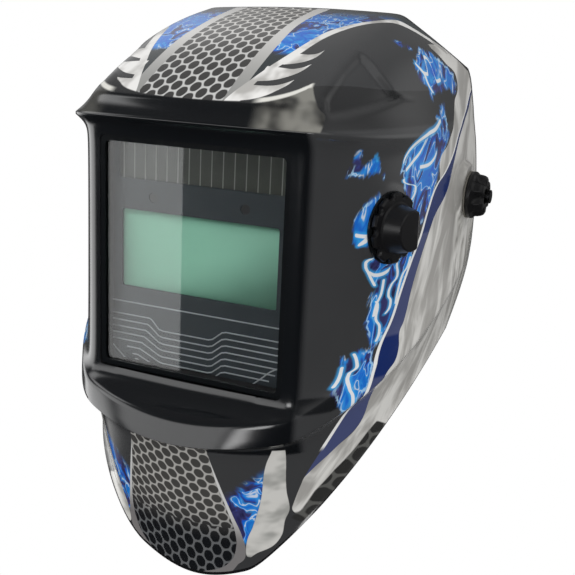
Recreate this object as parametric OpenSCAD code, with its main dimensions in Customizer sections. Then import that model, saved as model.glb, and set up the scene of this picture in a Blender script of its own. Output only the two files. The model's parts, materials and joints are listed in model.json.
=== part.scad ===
// Auto-darkening welding helmet with its filter cartridge and ratchet headgear.
// +Z is up and the window faces -Y. The origin is the middle of the tilt axis, at the temples.

/* [Shell] */
// Greatest width of the shell, side to side
shell_w = 215; // [205:1:260]
// Depth of the shell side, from the window face back to the rear edge
shell_d = 179; // [158:1:215]
// Height of the crown above the window box
crown_h = 64; // [56:1:78]
// Drop of the chin below the window box
chin_h = 114; // [95:1:137]
// Thickness of the moulded wall
wall = 2.8; // [2:0.1:3.6]
// Height of the tilt axis above the middle of the window
pivot_rise = 30; // [24:1:34]
// Distance of the tilt axis ahead of the shell's rear edge
pivot_inset = 32; // [28:1:36]

/* [Filter cartridge] */
// Width of the cartridge
cart_w = 114; // [104:1:137]
// Height of the cartridge
cart_h = 133; // [122:1:150]
// Thickness of the cartridge
cart_d = 10; // [9:0.5:13]
// Width of the viewing area
lcd_w = 93; // [76:1:98]
// Height of the viewing area
lcd_h = 42.5; // [34:0.5:49]
// Height of the viewing area's middle above the window's middle
lcd_up = 2.5; // [1:0.5:5]
// Depth of the cover lens behind the window face
lens_depth = 1.4; // [1:0.1:2]
// Depth of the cartridge behind the window face
cart_y = 8; // [7:0.5:9]
// Thickness of the outer cover lens
lens_t = 1.2; // [0.8:0.1:1.6]

/* [Pivots] */
// Radius of the pivot bolt
bolt_r = 4; // [3:0.5:5]
// Angle that the shell tilts up to
tilt_range = 65; // [45:5:70]
// Travel of the distance adjustment, each way
distance_travel = 10; // [6:1:12]
// Radius of the tension knob
tension_knob_r = 14; // [13:0.5:20]
// Length of the tension knob
tension_knob_l = 10; // [10:0.5:18]

/* [Shade control] */
// Place of the shade knob along the side, in steps of the shell's net
shade_place = 13.1; // [12.6:0.1:13.8]
// Place of the shade knob up the side, in steps of the shell's net
shade_level = 9.27; // [9:0.05:9.6]
// Radius of the shade knob's skirt
skirt_r = 18.5; // [16:0.5:21]
// Radius of the shade knob's grip
grip_r = 13; // [12:0.5:16]
// Length of the shade knob's grip
grip_l = 10; // [9:0.5:20]

/* [Headgear] */
// Width inside the headband
head_w = 156; // [148:1:160]
// Distance of the band's front ahead of the tilt axis
band_reach = 75; // [68:1:82]
// Distance of the band's middle behind the tilt axis
band_mid = 25; // [20:1:30]
// Distance of the ratchet housing behind the tilt axis, band let out
rear_reach = 124; // [118:1:132]
// Thickness of the band
band_t = 2.2; // [1.6:0.1:2.6]
// Height of the band
band_h = 28; // [24:1:32]
// Angle at which the band drops to the back
band_tilt = 10; // [6:1:12]
// Thickness of the brow pad
pad_t = 6; // [4:0.5:8]
// Width of the crown strap
strap_w = 24; // [18:1:26]
// Clearance between the crown strap and the shell
crown_gap = 8; // [6:0.5:12]
// Travel of each size rack
rack_travel = 18; // [12:1:20]
// Radius of the ratchet knob
ratchet_knob_r = 21; // [17:0.5:24]

/* [Fits] */
// Radial clearance of a turning shaft
run_gap = 0.05; // [0.02:0.01:0.09]
// Clearance between faces that slide or turn past each other
slide_gap = 0.2; // [0.15:0.05:0.4]
// Clearance of the cartridge in its tray, each side
tray_gap = 0.3; // [0.2:0.05:0.6]

/* [Hidden] */
$fn = 48;

black = "#17181b";
gloss_black = "#0d0e11";
dark_grey = "#3a3d42";
soft_grey = "#55585c";
steel = "#b9bcc0";
brass_colour = "#b5964a";

// ---- Window and box -------------------------------------------------------
lens_lip_w = 5;
lens_lip_h = 6.5;
box_rim_w = 5;
box_rim_h = 3.5;
view_w = cart_w - 2 * lens_lip_w;
view_h = cart_h - 2 * lens_lip_h;
box_w = cart_w + 2 * box_rim_w;
box_h = cart_h + 2 * box_rim_h;
collar_t = 3;
open_w = view_w + 2 * collar_t;
open_h = view_h + 2 * collar_t;
pivot_y = shell_d - pivot_inset;
half_w = shell_w / 2;

// ---- Shell net ------------------------------------------------------------
// One line per level, from the chin's edge to the crown's edge:
// [centre y, z], [front corner x, y, z], [side x, y, z], [rear edge x, y, z].
// The lengths are for a shell 215 wide, 179 deep, with a box 124 by 140.
levels = [
    [[10, -184], [38, 12, -171], [84, 38, -110], [105, 130, -50]],
    [[3, -160], [43, 10, -152], [88, 50, -96], [106, 143, -38]],
    [[-8, -127], [51, 5, -120], [92, 57, -82], [107, 152, -27]],
    [[-16, -98], [58, 3, -92], [96, 61, -62], [107.5, 158, -18]],
    [[-19, -92], [60, 1, -86], [98, 61, -54], [107.5, 161, -13]],
    [[-25, -91], [64, -5, -84], [101, 59, -51], [107.5, 163, -8]],
    [[-19, -76], [63, -4, -72], [100, 60, -40], [107.5, 165, -2]],
    [[-4, -70], [62, -1, -67], [98, 62, -32], [107, 168, 6]],
    [[-2, -60], [62, 0, -59], [98, 64, -22], [106.5, 170, 16]],
    [[-2, 0], [62, 0, 2], [97, 66, 16], [105, 174, 36]],
    [[-2, 60], [62, 0, 60], [96, 68, 53], [102, 177, 57]],
    [[-3, 70], [63, 0, 68], [95, 68, 61], [100.5, 178, 64]],
    [[-9, 73], [70, -3, 73], [96, 66, 69], [99, 178, 72]],
    [[-3, 84], [62, 4, 84], [92, 70, 78], [97.5, 179, 80]],
    [[10, 92], [62, 16, 93], [87, 76, 90], [96, 179, 88]],
    [[50, 114], [60, 54, 112], [82, 90, 106], [95, 178, 95]],
    [[92, 127], [62, 94, 125], [82, 116, 114], [94, 176, 100]],
    [[128, 134], [63, 128, 132], [81, 146, 117], [93, 174, 103]]
];

function fit_x(x) = x <= 62 ? x * box_w / 124
    : box_w / 2 + (x - 62) * (half_w - box_w / 2) / 45.5;
function fit_y(y) = y <= 0 ? y : y * shell_d / 179;
function fit_z(z) = abs(z) <= 70 ? z * box_h / 140
    : z > 0 ? box_h / 2 + (z - 70) * crown_h / 64 : -box_h / 2 + (z + 70) * chin_h / 114;
function fit(p) = [fit_x(p[0]), fit_y(p[1]) - pivot_y, fit_z(p[2]) - pivot_rise];

// Points of one level from the centre line to the rear edge
function face_point(c, k, t) = [k[0] * t, c[0] + (k[1] - c[0]) * pow(t, 2.2),
    c[1] + (k[2] - c[1]) * pow(t, 1.8)];
function through(a, b, c, t) = let (m = 2 * b - (a + c) / 2)
    pow(1 - t, 2) * a + 2 * t * (1 - t) * m + t * t * c;
function half_level(r) = concat([for (t = [0, 0.45, 0.85]) face_point(r[0], r[1], t)], [r[1]],
    [for (t = [0.1, 0.35, 0.62, 0.86, 1]) through(r[1], r[2], r[3], t)]);
function flip_x(p) = [-p[0], p[1], p[2]];
function whole_level(r) = let (h = [for (p = half_level(r)) fit(p)])
    concat([for (i = [len(h) - 1:-1:1]) flip_x(h[i])], h);
net = [for (r = levels) whole_level(r)];

// Uniform cubic B-spline that reaches its end points
function with_ends(p) = let (n = len(p))
    concat([2 * p[0] - p[1]], p, [2 * p[n - 1] - p[n - 2]]);
function weights(t) = [pow(1 - t, 3), 3 * pow(t, 3) - 6 * t * t + 4,
    -3 * pow(t, 3) + 3 * t * t + 3 * t + 1, pow(t, 3)] / 6;
function blend4(q, i, b) = b[0] * q[i] + b[1] * q[i + 1] + b[2] * q[i + 2] + b[3] * q[i + 3];
function spline_at(p, u) = let (q = with_ends(p), i = min(floor(u), len(p) - 2))
    blend4(q, i, weights(u - i));
function shell_point(level, place) = spline_at(spline_at(net, level), place);

// Outer skin sampled evenly, and the inner skin one wall inside it
steps = 2;
rows = (len(net) - 1) * steps;
cols = (len(net[0]) - 1) * steps;
outer = [for (i = [0:rows]) let (line = spline_at(net, i / steps))
    [for (j = [0:cols]) spline_at(line, j / steps)]];
function outward(i, j) = let (
    across = outer[i][min(j + 1, cols)] - outer[i][max(j - 1, 0)],
    up = outer[min(i + 1, rows)][j] - outer[max(i - 1, 0)][j],
    n = cross(across, up)) n / norm(n);
inner = [for (i = [0:rows]) [for (j = [0:cols]) outer[i][j] - wall * outward(i, j)]];

// ---- Shade knob's seat ----------------------------------------------------
shade_point = shell_point(shade_level, shade_place);
shade_across = shell_point(shade_level, shade_place + 0.2) - shell_point(shade_level, shade_place - 0.2);
shade_up = shell_point(shade_level + 0.2, shade_place) - shell_point(shade_level - 0.2, shade_place);
shade_dir = cross(shade_across, shade_up) / norm(cross(shade_across, shade_up));
seat_rise = 1.2;
seat_sink = wall + 2.6;
dial_t = 1.2;
pot_thread_r = 4.5;
pot_shaft_r = 3;
pot_body_r = 8.5;
pot_body_l = 9;
pot_cover_r = 12;
pot_cover_t = 1.4;
nut_t = 2.2;
skirt_t = 3.2;

// ---- Cartridge layers, measured back from the window face ------------------
skin_back = 3;
gasket_t = cart_y - lens_depth - lens_t;
lens_w = view_w + 3;
lens_h = view_h + 3;
cart_back = cart_y + cart_d;
cart_wall = 1.5;
cart_split = cart_y + 4;
inside_front = cart_y + cart_wall;
inside_back = cart_back - cart_wall;
board_y = inside_front + 0.7;
board_t = 1.2;
board_h = 32;
board_z = -cart_h / 2 + cart_wall + 7 + board_h / 2;
cell_r = 12.25;
cell_gap = 0.6;
dial_x = 38;
dial_r = 8;
dial_shaft_r = 2;
button_r = 3.5;
button_back = 0.6;
button_travel = 1;
solar_w = cart_w - 17;
solar_h = 20;
solar_z = lcd_up + lcd_h / 2 + 16.5 + solar_h / 2;
sensor_x = 27;
sensor_r = 2.6;
sensor_z = lcd_up + lcd_h / 2 + 7.5;
tray_wall = 2.2;
tray_w = cart_w + 2 * (tray_gap + tray_wall);
tray_h = cart_h + 2 * (tray_gap + tray_wall);
tray_flange_h = tray_h + 12;
tray_back = cart_back + 7;
screw_x = view_w / 2 - 7;
screw_z = (tray_h + tray_flange_h) / 4;
keeper_t = 2.5;
keeper_y = cart_back + 0.3;
keeper_pin_y = keeper_y + keeper_t + 0.7;
keeper_pin_z = cart_h / 2 - 3.5;
keeper_pin_r = 1.2;
keeper_bar = 3;

// ---- Pivot stack, measured out from the middle ------------------------------
seat_out = half_w - 0.7;
seat_in = half_w - 7;
bush_flange_t = 2.5;
bush_flange_r = 16.5;
bush_neck_r = bolt_r + 3;
washer_t = 1.5;
bush_in = seat_in - bush_flange_t;
washer_in = bush_in - slide_gap - washer_t;
block_disc_t = 4.7;
block_disc_r = 15;
disc_in = washer_in - block_disc_t;
arm_t = 2.9;
arm_out = disc_in - slide_gap;
arm_in = arm_out - arm_t;
block_flange_t = 2.3;
flange_out = arm_in - slide_gap;
flange_in = flange_out - block_flange_t;
block_len = 16;
slot_h = 2 * bolt_r + 0.4;
bolt_head_t = 3;
bolt_head_r = bolt_r + 2.5;
arm_len = block_len + 2 * distance_travel + 28;
arm_h = 22;
post_y = block_len / 2 + distance_travel + 8;
post_r = 4;
stop_r = 12.5;
stop_pin_r = 1.5;
stop_angle = 90;
slot_end = asin((stop_pin_r + 0.4) / stop_r);
outer_washer_t = 1;
knob_in = seat_out + outer_washer_t + slide_gap;
insert_r = bolt_r + 2.5;
insert_l = 8;
bolt_end = knob_in + tension_knob_l + 2.5;

// ---- Headgear ---------------------------------------------------------------
band_a = head_w / 2;
band_b = band_reach + band_mid;
band_low = -band_h / 2 + 1;
yoke_gap = 0.3;
yoke_start = band_mid + 25;
yoke_a = band_a + band_t + yoke_gap;
yoke_mid = yoke_start + 30;
tail_end = yoke_mid - rack_travel - 1;
strap_t = 1.8;
strap_y = post_y - post_r - strap_w / 2 - 1;
strap_foot = band_low + 6;
strap_bend = band_low + band_h + 1;
crown_top = box_h / 2 + crown_h - pivot_rise;
strap_top = crown_top - wall - crown_gap - strap_t;
strap_a = band_a + band_t + strap_t / 2;
peg_r = 3.5;
house_w = 92;
house_h = 32;
house_wall = 2;
house_d = 9;
cover_t = 2.5;
rear_face = rear_reach + house_d;
tooth_m = 1;
teeth = 12;
pressure = 25;
pitch_r = tooth_m * teeth / 2;
rack_len = rack_travel + 34;
rack_lead = 10;
rack_t = 4;
rack_y = rear_reach + house_wall + 1;
spindle_r = 4;
spindle_end = rear_face + cover_t + 12;
ratchet_knob_t = 16;
house_screw_x = 40;
house_screw_z = house_h / 2 - 1.8;

// ---- The held lead, from the shade control to the cartridge's side ----------
lead_r = 1.3;
lead_end = [cart_w / 2, cart_split + 3 - pivot_y, -27 - pivot_rise];
lead_points = [
    [4, 0, 0, 0], [9, 2, -3, 0], [0.22, 1, 0, 1], [0.45, 4, 2, 1], [0.68, 5, 1, 1], [0.88, 1.5, 0, 1]
];

// ---- Helpers ------------------------------------------------------------------
module from_window() translate([0, -pivot_y, -pivot_rise]) children();
module tilted() rotate([-band_tilt, 0, 0]) children();
module on_seat() translate(shade_point)
    rotate([0, acos(shade_dir[2]), atan2(shade_dir[1], shade_dir[0])]) children();
module round_square(w, h, r) {
    square([w - 2 * r, h], center = true);
    square([w, h - 2 * r], center = true);
    for (x = [-1, 1], y = [-1, 1])
        translate([x * (w / 2 - r), y * (h / 2 - r)]) circle(r);
}
// Flat plate facing -Y, from y to y + t
module plate(w, h, y, t, r = 2) translate([0, y + t, 0]) rotate([90, 0, 0])
    linear_extrude(t) round_square(w, h, r);
module disc_y(r, y, t) translate([0, y + t, 0]) rotate([90, 0, 0]) cylinder(r = r, h = t);
// Cylinder along X, from x0 to x1
module bar_x(r, x0, x1) translate([x0, 0, 0]) rotate([0, 90, 0]) cylinder(r = r, h = x1 - x0);
module ring_x(r, hole, x0, x1) difference() {
    bar_x(r, x0, x1);
    bar_x(hole, x0 - 1, x1 + 1);
}
module other_side() mirror([1, 0, 0]) children();

// ---- Shell ---------------------------------------------------------------------
module skin() {
    w = cols + 1;
    n = (rows + 1) * w;
    faces_out = [for (i = [0:rows - 1], j = [0:cols - 1], f = [0, 1]) let (a = i * w + j)
        f == 0 ? [a, a + w, a + w + 1] : [a, a + w + 1, a + 1]];
    faces_in = [for (f = faces_out) [f[0] + n, f[2] + n, f[1] + n]];
    edge = concat([for (j = [0:cols - 1]) [j, j + 1]],
        [for (i = [0:rows - 1]) [i * w + cols, (i + 1) * w + cols]],
        [for (j = [cols:-1:1]) [rows * w + j, rows * w + j - 1]],
        [for (i = [rows:-1:1]) [i * w, (i - 1) * w]]);
    faces_edge = [for (e = edge, f = [0, 1])
        f == 0 ? [e[0], e[1], e[1] + n] : [e[0], e[1] + n, e[0] + n]];
    polyhedron(points = concat([for (r = outer, p = r) p], [for (r = inner, p = r) p]),
        faces = concat(faces_out, faces_in, faces_edge), convexity = 8);
}

module helmet_shell() color(gloss_black) difference() {
    union() {
        skin();
        from_window() plate(box_w - 4, tray_flange_h, 0.5, skin_back - 0.5, 6);
        for (s = [-1, 1])
            bar_x(17.5, s > 0 ? seat_in : -seat_out, s > 0 ? seat_out : -seat_in);
        on_seat() translate([0, 0, -seat_sink]) cylinder(r = skirt_r + 1, h = seat_sink + seat_rise);
    }
    from_window() plate(open_w, open_h, -20, 40, 3);
    from_window() plate(tray_w + 2 * slide_gap, tray_flange_h + 2 * slide_gap, skin_back, tray_back, 5);
    for (x = [-screw_x, screw_x], z = [-screw_z, screw_z])
        from_window() translate([x, 0, z]) disc_y(1.2, 0, 9);
    bar_x(bush_neck_r + 0.1, -half_w - 5, -seat_in + 5);
    bar_x(bush_neck_r + 0.1, seat_in - 5, half_w + 5);
    on_seat() translate([0, 0, -20]) cylinder(r = pot_thread_r + 0.1, h = 40);
}

// ---- Lens holder and cartridge -------------------------------------------------
module lens_holder_frame() color(black) from_window() difference() {
    union() {
        plate(open_w - 0.2, open_h - 0.2, 0, skin_back + 1, 3);
        plate(tray_w, tray_flange_h, skin_back, 2, 5);
        plate(tray_w, tray_h, skin_back, tray_back - skin_back, 4);
    }
    plate(view_w, view_h, -2, cart_y + 4, 2.5);
    plate(lens_w + 0.4, lens_h + 0.4, lens_depth, cart_y, 2.7);
    plate(cart_w + 2 * tray_gap, cart_h + 2 * tray_gap, cart_y - 0.1, tray_back, 3);
    for (x = [-screw_x, screw_x], z = [-screw_z, screw_z])
        translate([x, 0, z]) disc_y(1.6, 0, 9);
    translate([0, keeper_pin_y, keeper_pin_z]) bar_x(keeper_pin_r + run_gap, -tray_w, tray_w);
    // Notch for the lead
    translate([cart_w / 2 - 2, cart_split + 3 - 2, -27 - 2]) cube([10, tray_back, 4]);
}
module holder_screws() color(steel) from_window()
    for (x = [-screw_x, screw_x], z = [-screw_z, screw_z]) translate([x, 0, z]) {
        disc_y(1.2, 0.8, skin_back + 1.4);
        disc_y(2.6, skin_back + 2, 1.6);
    }
module front_cover_lens() color([0.75, 0.85, 0.85, 0.35]) from_window()
    plate(lens_w, lens_h, lens_depth, lens_t, 2.5);
module lens_gasket() color(black) from_window() difference() {
    plate(lens_w, lens_h, lens_depth + lens_t, gasket_t, 2.5);
    plate(view_w, view_h, lens_depth + lens_t - 1, gasket_t + 2, 2.5);
}
module adf_front_housing() color(dark_grey) from_window() difference() {
    union() {
        difference() {
            plate(cart_w, cart_h, cart_y, cart_split - cart_y, 2.5);
            plate(cart_w - 2 * cart_wall, cart_h - 2 * cart_wall, inside_front, cart_d, 2);
        }
        for (x = [-1, 1], z = [-1, 1])
            translate([x * (cart_w / 2 - 9), 0, board_z + z * (board_h / 2 - 4)])
                disc_y(2.5, inside_front - 0.2, board_y - inside_front + 0.2);
    }
    translate([0, 0, lcd_up]) plate(lcd_w, lcd_h, cart_y - 1, cart_d, 1.5);
    translate([0, 0, solar_z]) plate(solar_w, solar_h, cart_y - 1, cart_d, 1);
    for (x = [-sensor_x, sensor_x])
        translate([x, 0, sensor_z]) disc_y(sensor_r + run_gap, cart_y - 1, cart_d);
}
module solar_panel() color("#4a4c46") from_window() translate([0, 0, solar_z])
    plate(solar_w + 2, solar_h + 2, inside_front, 1.2, 1);
module lcd_filter() color("#7fb09a") from_window() translate([0, 0, lcd_up])
    plate(lcd_w + 2, lcd_h + 2, inside_front, 4, 1);
module arc_sensors() color("#101014") from_window()
    for (x = [-sensor_x, sensor_x]) translate([x, 0, sensor_z]) {
        disc_y(sensor_r, cart_y + 0.4, cart_wall);
        disc_y(sensor_r + 0.5, inside_front, 1);
    }
module circuit_board() color("#1f5a38") from_window() translate([0, 0, board_z])
    plate(cart_w - 2 * cart_wall - 4, board_h, board_y, board_t, 1);
module trimmer_pots() color(black) from_window()
    for (x = [-dial_x, dial_x]) translate([x - 5, board_y + board_t, board_z - 5])
        cube([10, inside_back - board_y - board_t - 0.2, 10]);
module test_switch() color(black) from_window() translate([-3, board_y + board_t, board_z + 9 - 3])
    cube([6, inside_back - button_back - button_travel - 0.3 - board_y - board_t, 6]);
module coin_cells() color(steel) from_window() for (x = [-1, 1])
    translate([x * (cell_r + cell_gap / 2), 0, board_z - 4])
        disc_y(cell_r - 4.2, board_y + board_t, inside_back - board_y - board_t);
module battery_door() color(black) from_window() translate([0, 0, board_z - 4])
    plate(46, 18, inside_back, cart_wall, 2);
module adf_rear_housing() color(black) from_window() difference() {
    union() {
        difference() {
            plate(cart_w, cart_h, cart_split, cart_back - cart_split, 2.5);
            plate(cart_w - 2 * cart_wall, cart_h - 2 * cart_wall, cart_split - 1,
                inside_back - cart_split + 1, 2);
        }
        translate([0, 0, lcd_up])
            plate(lcd_w + 4, lcd_h + 4, inside_front + 4, inside_back - inside_front - 3, 2);
        for (z = [-1, 1]) translate([0, 0, lcd_up + z * (lcd_h / 2 + 6.3)])
            plate(lcd_w + 10, 1.6, cart_back - 0.5, 2, 0.5);
    }
    translate([0, 0, lcd_up]) plate(lcd_w, lcd_h, cart_split, cart_d, 1.5);
    for (x = [-dial_x, dial_x])
        translate([x, 0, board_z]) disc_y(dial_shaft_r + run_gap, cart_split, cart_d);
    translate([0, 0, board_z + 9]) disc_y(button_r + run_gap, cart_split, cart_d);
    translate([0, 0, board_z - 4]) plate(46, 18, cart_split, cart_d, 2);
}
module inner_cover_lens() color([0.75, 0.85, 0.85, 0.35]) from_window()
    translate([0, 0, lcd_up]) plate(lcd_w + 10, lcd_h + 11, cart_back, 1, 1);
module small_dial(x) from_window() translate([x, 0, board_z]) {
    disc_y(dial_shaft_r, inside_back - 0.1, cart_wall + 1);
    difference() {
        disc_y(dial_r, cart_back + slide_gap, 3.4);
        translate([-0.6, cart_back + 2.6, 1]) cube([1.2, 5, dial_r]);
    }
}
module sensitivity_dial() color(dark_grey) small_dial(-dial_x);
module delay_dial() color(dark_grey) small_dial(dial_x);
module test_button() color("#8c2a22") from_window() translate([0, 0, board_z + 9])
    disc_y(button_r, inside_back - button_back, cart_wall + button_back + 1.8);
module cartridge_retainer() color(black) from_window() {
    low = -cart_h / 2 + 1.5;
    high = keeper_pin_z + 1.2;
    difference() {
        translate([0, 0, (low + high) / 2]) plate(cart_w - 3, high - low, keeper_y, keeper_t, 2);
        translate([0, 0, (low + high) / 2])
            plate(cart_w - 3 - 2 * keeper_bar, high - low - 2 * keeper_bar, 0, 60, 2);
    }
    for (s = [-1, 1]) {
        translate([s > 0 ? cart_w / 2 - 9.5 : -cart_w / 2 + 1.5, keeper_pin_y, keeper_pin_z])
            bar_x(2.4, 0, 8);
        translate([s > 0 ? cart_w / 2 - 1.6 : -tray_w / 2, keeper_pin_y, keeper_pin_z])
            bar_x(keeper_pin_r, 0, tray_w / 2 - cart_w / 2 + 1.6);
    }
    translate([-9, keeper_y + keeper_t - 0.1, low]) cube([18, 5, 2.5]);
}

// ---- Shade control ---------------------------------------------------------------
module shade_dial_plate() color(dark_grey) on_seat() difference() {
    translate([0, 0, seat_rise]) cylinder(r = skirt_r + 0.6, h = dial_t);
    cylinder(r = pot_thread_r + 0.1, h = 20, center = true);
}
module shade_pot() color(steel) on_seat() difference() {
    union() {
        translate([0, 0, -seat_sink - pot_body_l]) cylinder(r = pot_body_r, h = pot_body_l);
        translate([0, 0, -seat_sink - 1])
            cylinder(r = pot_thread_r, h = seat_sink + seat_rise + dial_t + nut_t + 1.6);
    }
    translate([0, 0, -seat_sink - 1]) cylinder(r = pot_shaft_r + run_gap, h = 40);
}
module shade_pot_cover() color(black) on_seat() difference() {
    translate([0, 0, -seat_sink - pot_body_l - pot_cover_t - 2])
        cylinder(r = pot_cover_r, h = pot_body_l + pot_cover_t + 2);
    translate([0, 0, -seat_sink - pot_body_l - 2])
        cylinder(r = pot_cover_r - pot_cover_t, h = pot_body_l + 4);
}
module pot_nut() color(steel) on_seat() difference() {
    translate([0, 0, seat_rise + dial_t]) cylinder(r = 7, h = nut_t, $fn = 6);
    cylinder(r = pot_thread_r + 0.05, h = 20);
}
grip_top = seat_rise + dial_t + slide_gap + skirt_t + grip_l;
module pot_shaft() color(steel) on_seat() translate([0, 0, -seat_sink - 0.8])
    cylinder(r = pot_shaft_r, h = seat_sink + 0.8 + grip_top - 3);
module shade_knob() color(black) on_seat() difference() {
    union() {
        translate([0, 0, grip_top - grip_l - skirt_t]) cylinder(r = skirt_r, h = skirt_t);
        translate([0, 0, grip_top - grip_l - 0.1]) cylinder(r1 = grip_r, r2 = grip_r - 2.4, h = grip_l + 0.1);
    }
    // Sloping cut along one side of the end
    translate([-20, 4, grip_top]) rotate([-32, 0, 0]) cube([40, 20, 10]);
    for (a = [0:36:324]) rotate(a) translate([skirt_r + 1.2, 0, 0]) cylinder(r = 2.6, h = 60, center = true);
    translate([0, 0, 0]) cylinder(r = 8, h = grip_top - grip_l + 1.4);
    cylinder(r = pot_shaft_r, h = grip_top - 3);
    // Pointer groove across the face
    translate([-0.8, 1, grip_top - 0.8]) cube([1.6, grip_r, 2]);
}

// The lead is a round tube swept along a smooth run of points
lead_start = shade_point - (seat_sink + pot_body_l + pot_cover_t + 2) * shade_dir;
lead_turn = lead_start - 8 * shade_dir;
lead_last = lead_end + [6, 0, 0];
function lead_mid(q) = q[3] == 0 ? lead_start - q[0] * shade_dir + [0, q[1], q[2]]
    : lead_turn + q[0] * (lead_last - lead_turn) + [0, q[1], q[2]];
lead_knots = concat([lead_start], [for (q = lead_points) lead_mid(q)], [lead_last, lead_end]);
lead_rings = [for (u = [0:0.25:len(lead_knots) - 1]) spline_at(lead_knots, u)];
module shade_lead() color(black) {
    sides = 8;
    last = len(lead_rings) - 1;
    ring_points = [for (i = [0:last]) let (
        t = lead_rings[min(i + 1, last)] - lead_rings[max(i - 1, 0)],
        f = t / norm(t),
        a = cross(f, [0.2, 1, 0.1]) / norm(cross(f, [0.2, 1, 0.1])),
        b = cross(f, a))
        for (k = [0:sides - 1]) lead_rings[i] + lead_r * (cos(k * 45) * a + sin(k * 45) * b)];
    tube = [for (i = [0:last - 1], k = [0:sides - 1], f = [0, 1])
        let (p = i * sides + k, q = i * sides + (k + 1) % sides)
        f == 0 ? [p, p + sides, q + sides] : [p, q + sides, q]];
    caps = [[for (k = [0:sides - 1]) k], [for (k = [sides - 1:-1:0]) last * sides + k]];
    polyhedron(points = ring_points, faces = concat(tube, caps));
}

// ---- Pivots -------------------------------------------------------------------------
module pivot_bush() difference() {
    union() {
        bar_x(bush_flange_r, bush_in, seat_in);
        bar_x(bush_neck_r, seat_in - 0.1, seat_out);
    }
    bar_x(bolt_r + run_gap, 0, half_w + 9);
    // Curved slot that the stop pin runs in
    rotate([stop_angle - slot_end, 0, 0]) rotate([0, 90, 0]) rotate([0, 0, 90])
        rotate_extrude(angle = tilt_range + 2 * slot_end)
            translate([stop_r - stop_pin_r - 0.3, bush_in - 1])
                square([2 * stop_pin_r + 0.6, bush_flange_t + 2]);
}
module pivot_bush_left() color(dark_grey) pivot_bush();
module pivot_bush_right() color(dark_grey) other_side() pivot_bush();
module outer_washer_left() color(soft_grey) ring_x(14, bolt_r + 0.2, seat_out, seat_out + outer_washer_t);
module outer_washer_right() color(soft_grey) other_side()
    ring_x(14, bolt_r + 0.2, seat_out, seat_out + outer_washer_t);
module slide_block() difference() {
    union() {
        bar_x(block_disc_r, disc_in, washer_in);
        translate([flange_out - 0.1, -block_len / 2, -slot_h / 2 + 0.15])
            cube([disc_in - flange_out + 0.2, block_len, slot_h - 0.3]);
        translate([flange_in, -block_len / 2, -slot_h / 2 - 3])
            cube([block_flange_t, block_len, slot_h + 6]);
        rotate([stop_angle, 0, 0]) translate([0, stop_r, 0])
            bar_x(stop_pin_r, washer_in - 1, seat_in - slide_gap);
    }
    bar_x(bolt_r, 0, half_w);
}
module slide_block_left() color(black) slide_block();
module slide_block_right() color(black) other_side() slide_block();
module pivot_bolt() {
    bar_x(bolt_r, flange_in - 0.1, bolt_end);
    bar_x(bolt_head_r, flange_in - bolt_head_t, flange_in);
}
module pivot_bolt_left() color(steel) pivot_bolt();
module pivot_bolt_right() color(steel) other_side() pivot_bolt();
module friction_washer_left() color(soft_grey) ring_x(10, bolt_r + 0.1, washer_in, washer_in + washer_t);
module friction_washer_right() color(soft_grey) other_side()
    ring_x(10, bolt_r + 0.1, washer_in, washer_in + washer_t);
module tension_knob() difference() {
    union() {
        bar_x(tension_knob_r, knob_in, knob_in + 4);
        bar_x(tension_knob_r - 2, knob_in + 3.9, knob_in + tension_knob_l);
    }
    for (a = [0:45:315]) rotate([a + 22.5, 0, 0]) translate([0, tension_knob_r + 1, 0])
        bar_x(4, knob_in + 4, knob_in + tension_knob_l + 1);
    bar_x(bolt_r + run_gap, 0, bolt_end);
    bar_x(insert_r, 0, knob_in + insert_l);
}
module tension_knob_left() color(black) tension_knob();
module tension_knob_right() color(black) other_side() tension_knob();
module knob_insert_left() color(brass_colour) ring_x(insert_r, bolt_r + run_gap, knob_in, knob_in + insert_l);
module knob_insert_right() color(brass_colour) other_side()
    ring_x(insert_r, bolt_r + run_gap, knob_in, knob_in + insert_l);

// ---- Headgear -------------------------------------------------------------------------
function band_half(out, last) = [for (a = [-90:5:0]) [(band_a + out) * cos(a),
    band_mid + (band_b + out) * sin(a)]];
function band_line(out, last) = let (h = concat(band_half(out), [[band_a + out, last]]))
    concat([for (i = [len(h) - 1:-1:1]) [-h[i][0], h[i][1]]], h);
function backwards(p) = [for (i = [len(p) - 1:-1:0]) p[i]];
module band_outline(out, in, last) polygon(concat(band_line(out, last), backwards(band_line(in, last))));
module headband() color(black) tilted() translate([0, 0, band_low]) linear_extrude(band_h)
    band_outline(band_t, 0, tail_end);
module brow_pad() color(soft_grey) tilted() translate([0, 0, band_low + 2]) linear_extrude(band_h - 4)
    intersection() {
        band_outline(-0.3, -pad_t, band_mid);
        translate([-60, -band_reach - 10]) square([120, 60]);
    }

// Crown straps: left one under, right one over, pegged together at the top
function arch(a, top, from, to) = [for (t = [from:5:to])
    [a * cos(t), strap_bend + (top - strap_bend) * sin(t)]];
module strap(lift, reach) translate([0, strap_y + strap_w / 2, 0]) rotate([90, 0, 0])
    linear_extrude(strap_w) difference() {
        polygon(concat([[strap_a + strap_t / 2, strap_foot]],
            arch(strap_a + strap_t / 2, strap_top + strap_t + lift, 0, reach),
            backwards(arch(strap_a - strap_t / 2, strap_top + lift, 0, reach)),
            [[strap_a - strap_t / 2, strap_foot]]));
        if (lift == 0) translate([0, strap_top]) square([2 * peg_r, 12], center = true);
        if (lift > 0) translate([0, strap_top]) square([2 * peg_r, 20], center = true);
    }
module crown_strap_left() color(black) tilted() strap(0, 110);
module crown_strap_right() color(black) tilted() other_side() strap(strap_t + 0.3, 110);
module crown_strap_peg() color(dark_grey) tilted() translate([0, strap_y, strap_top - 0.6])
    cube([2 * peg_r, strap_w, 5.6], center = true);

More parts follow.
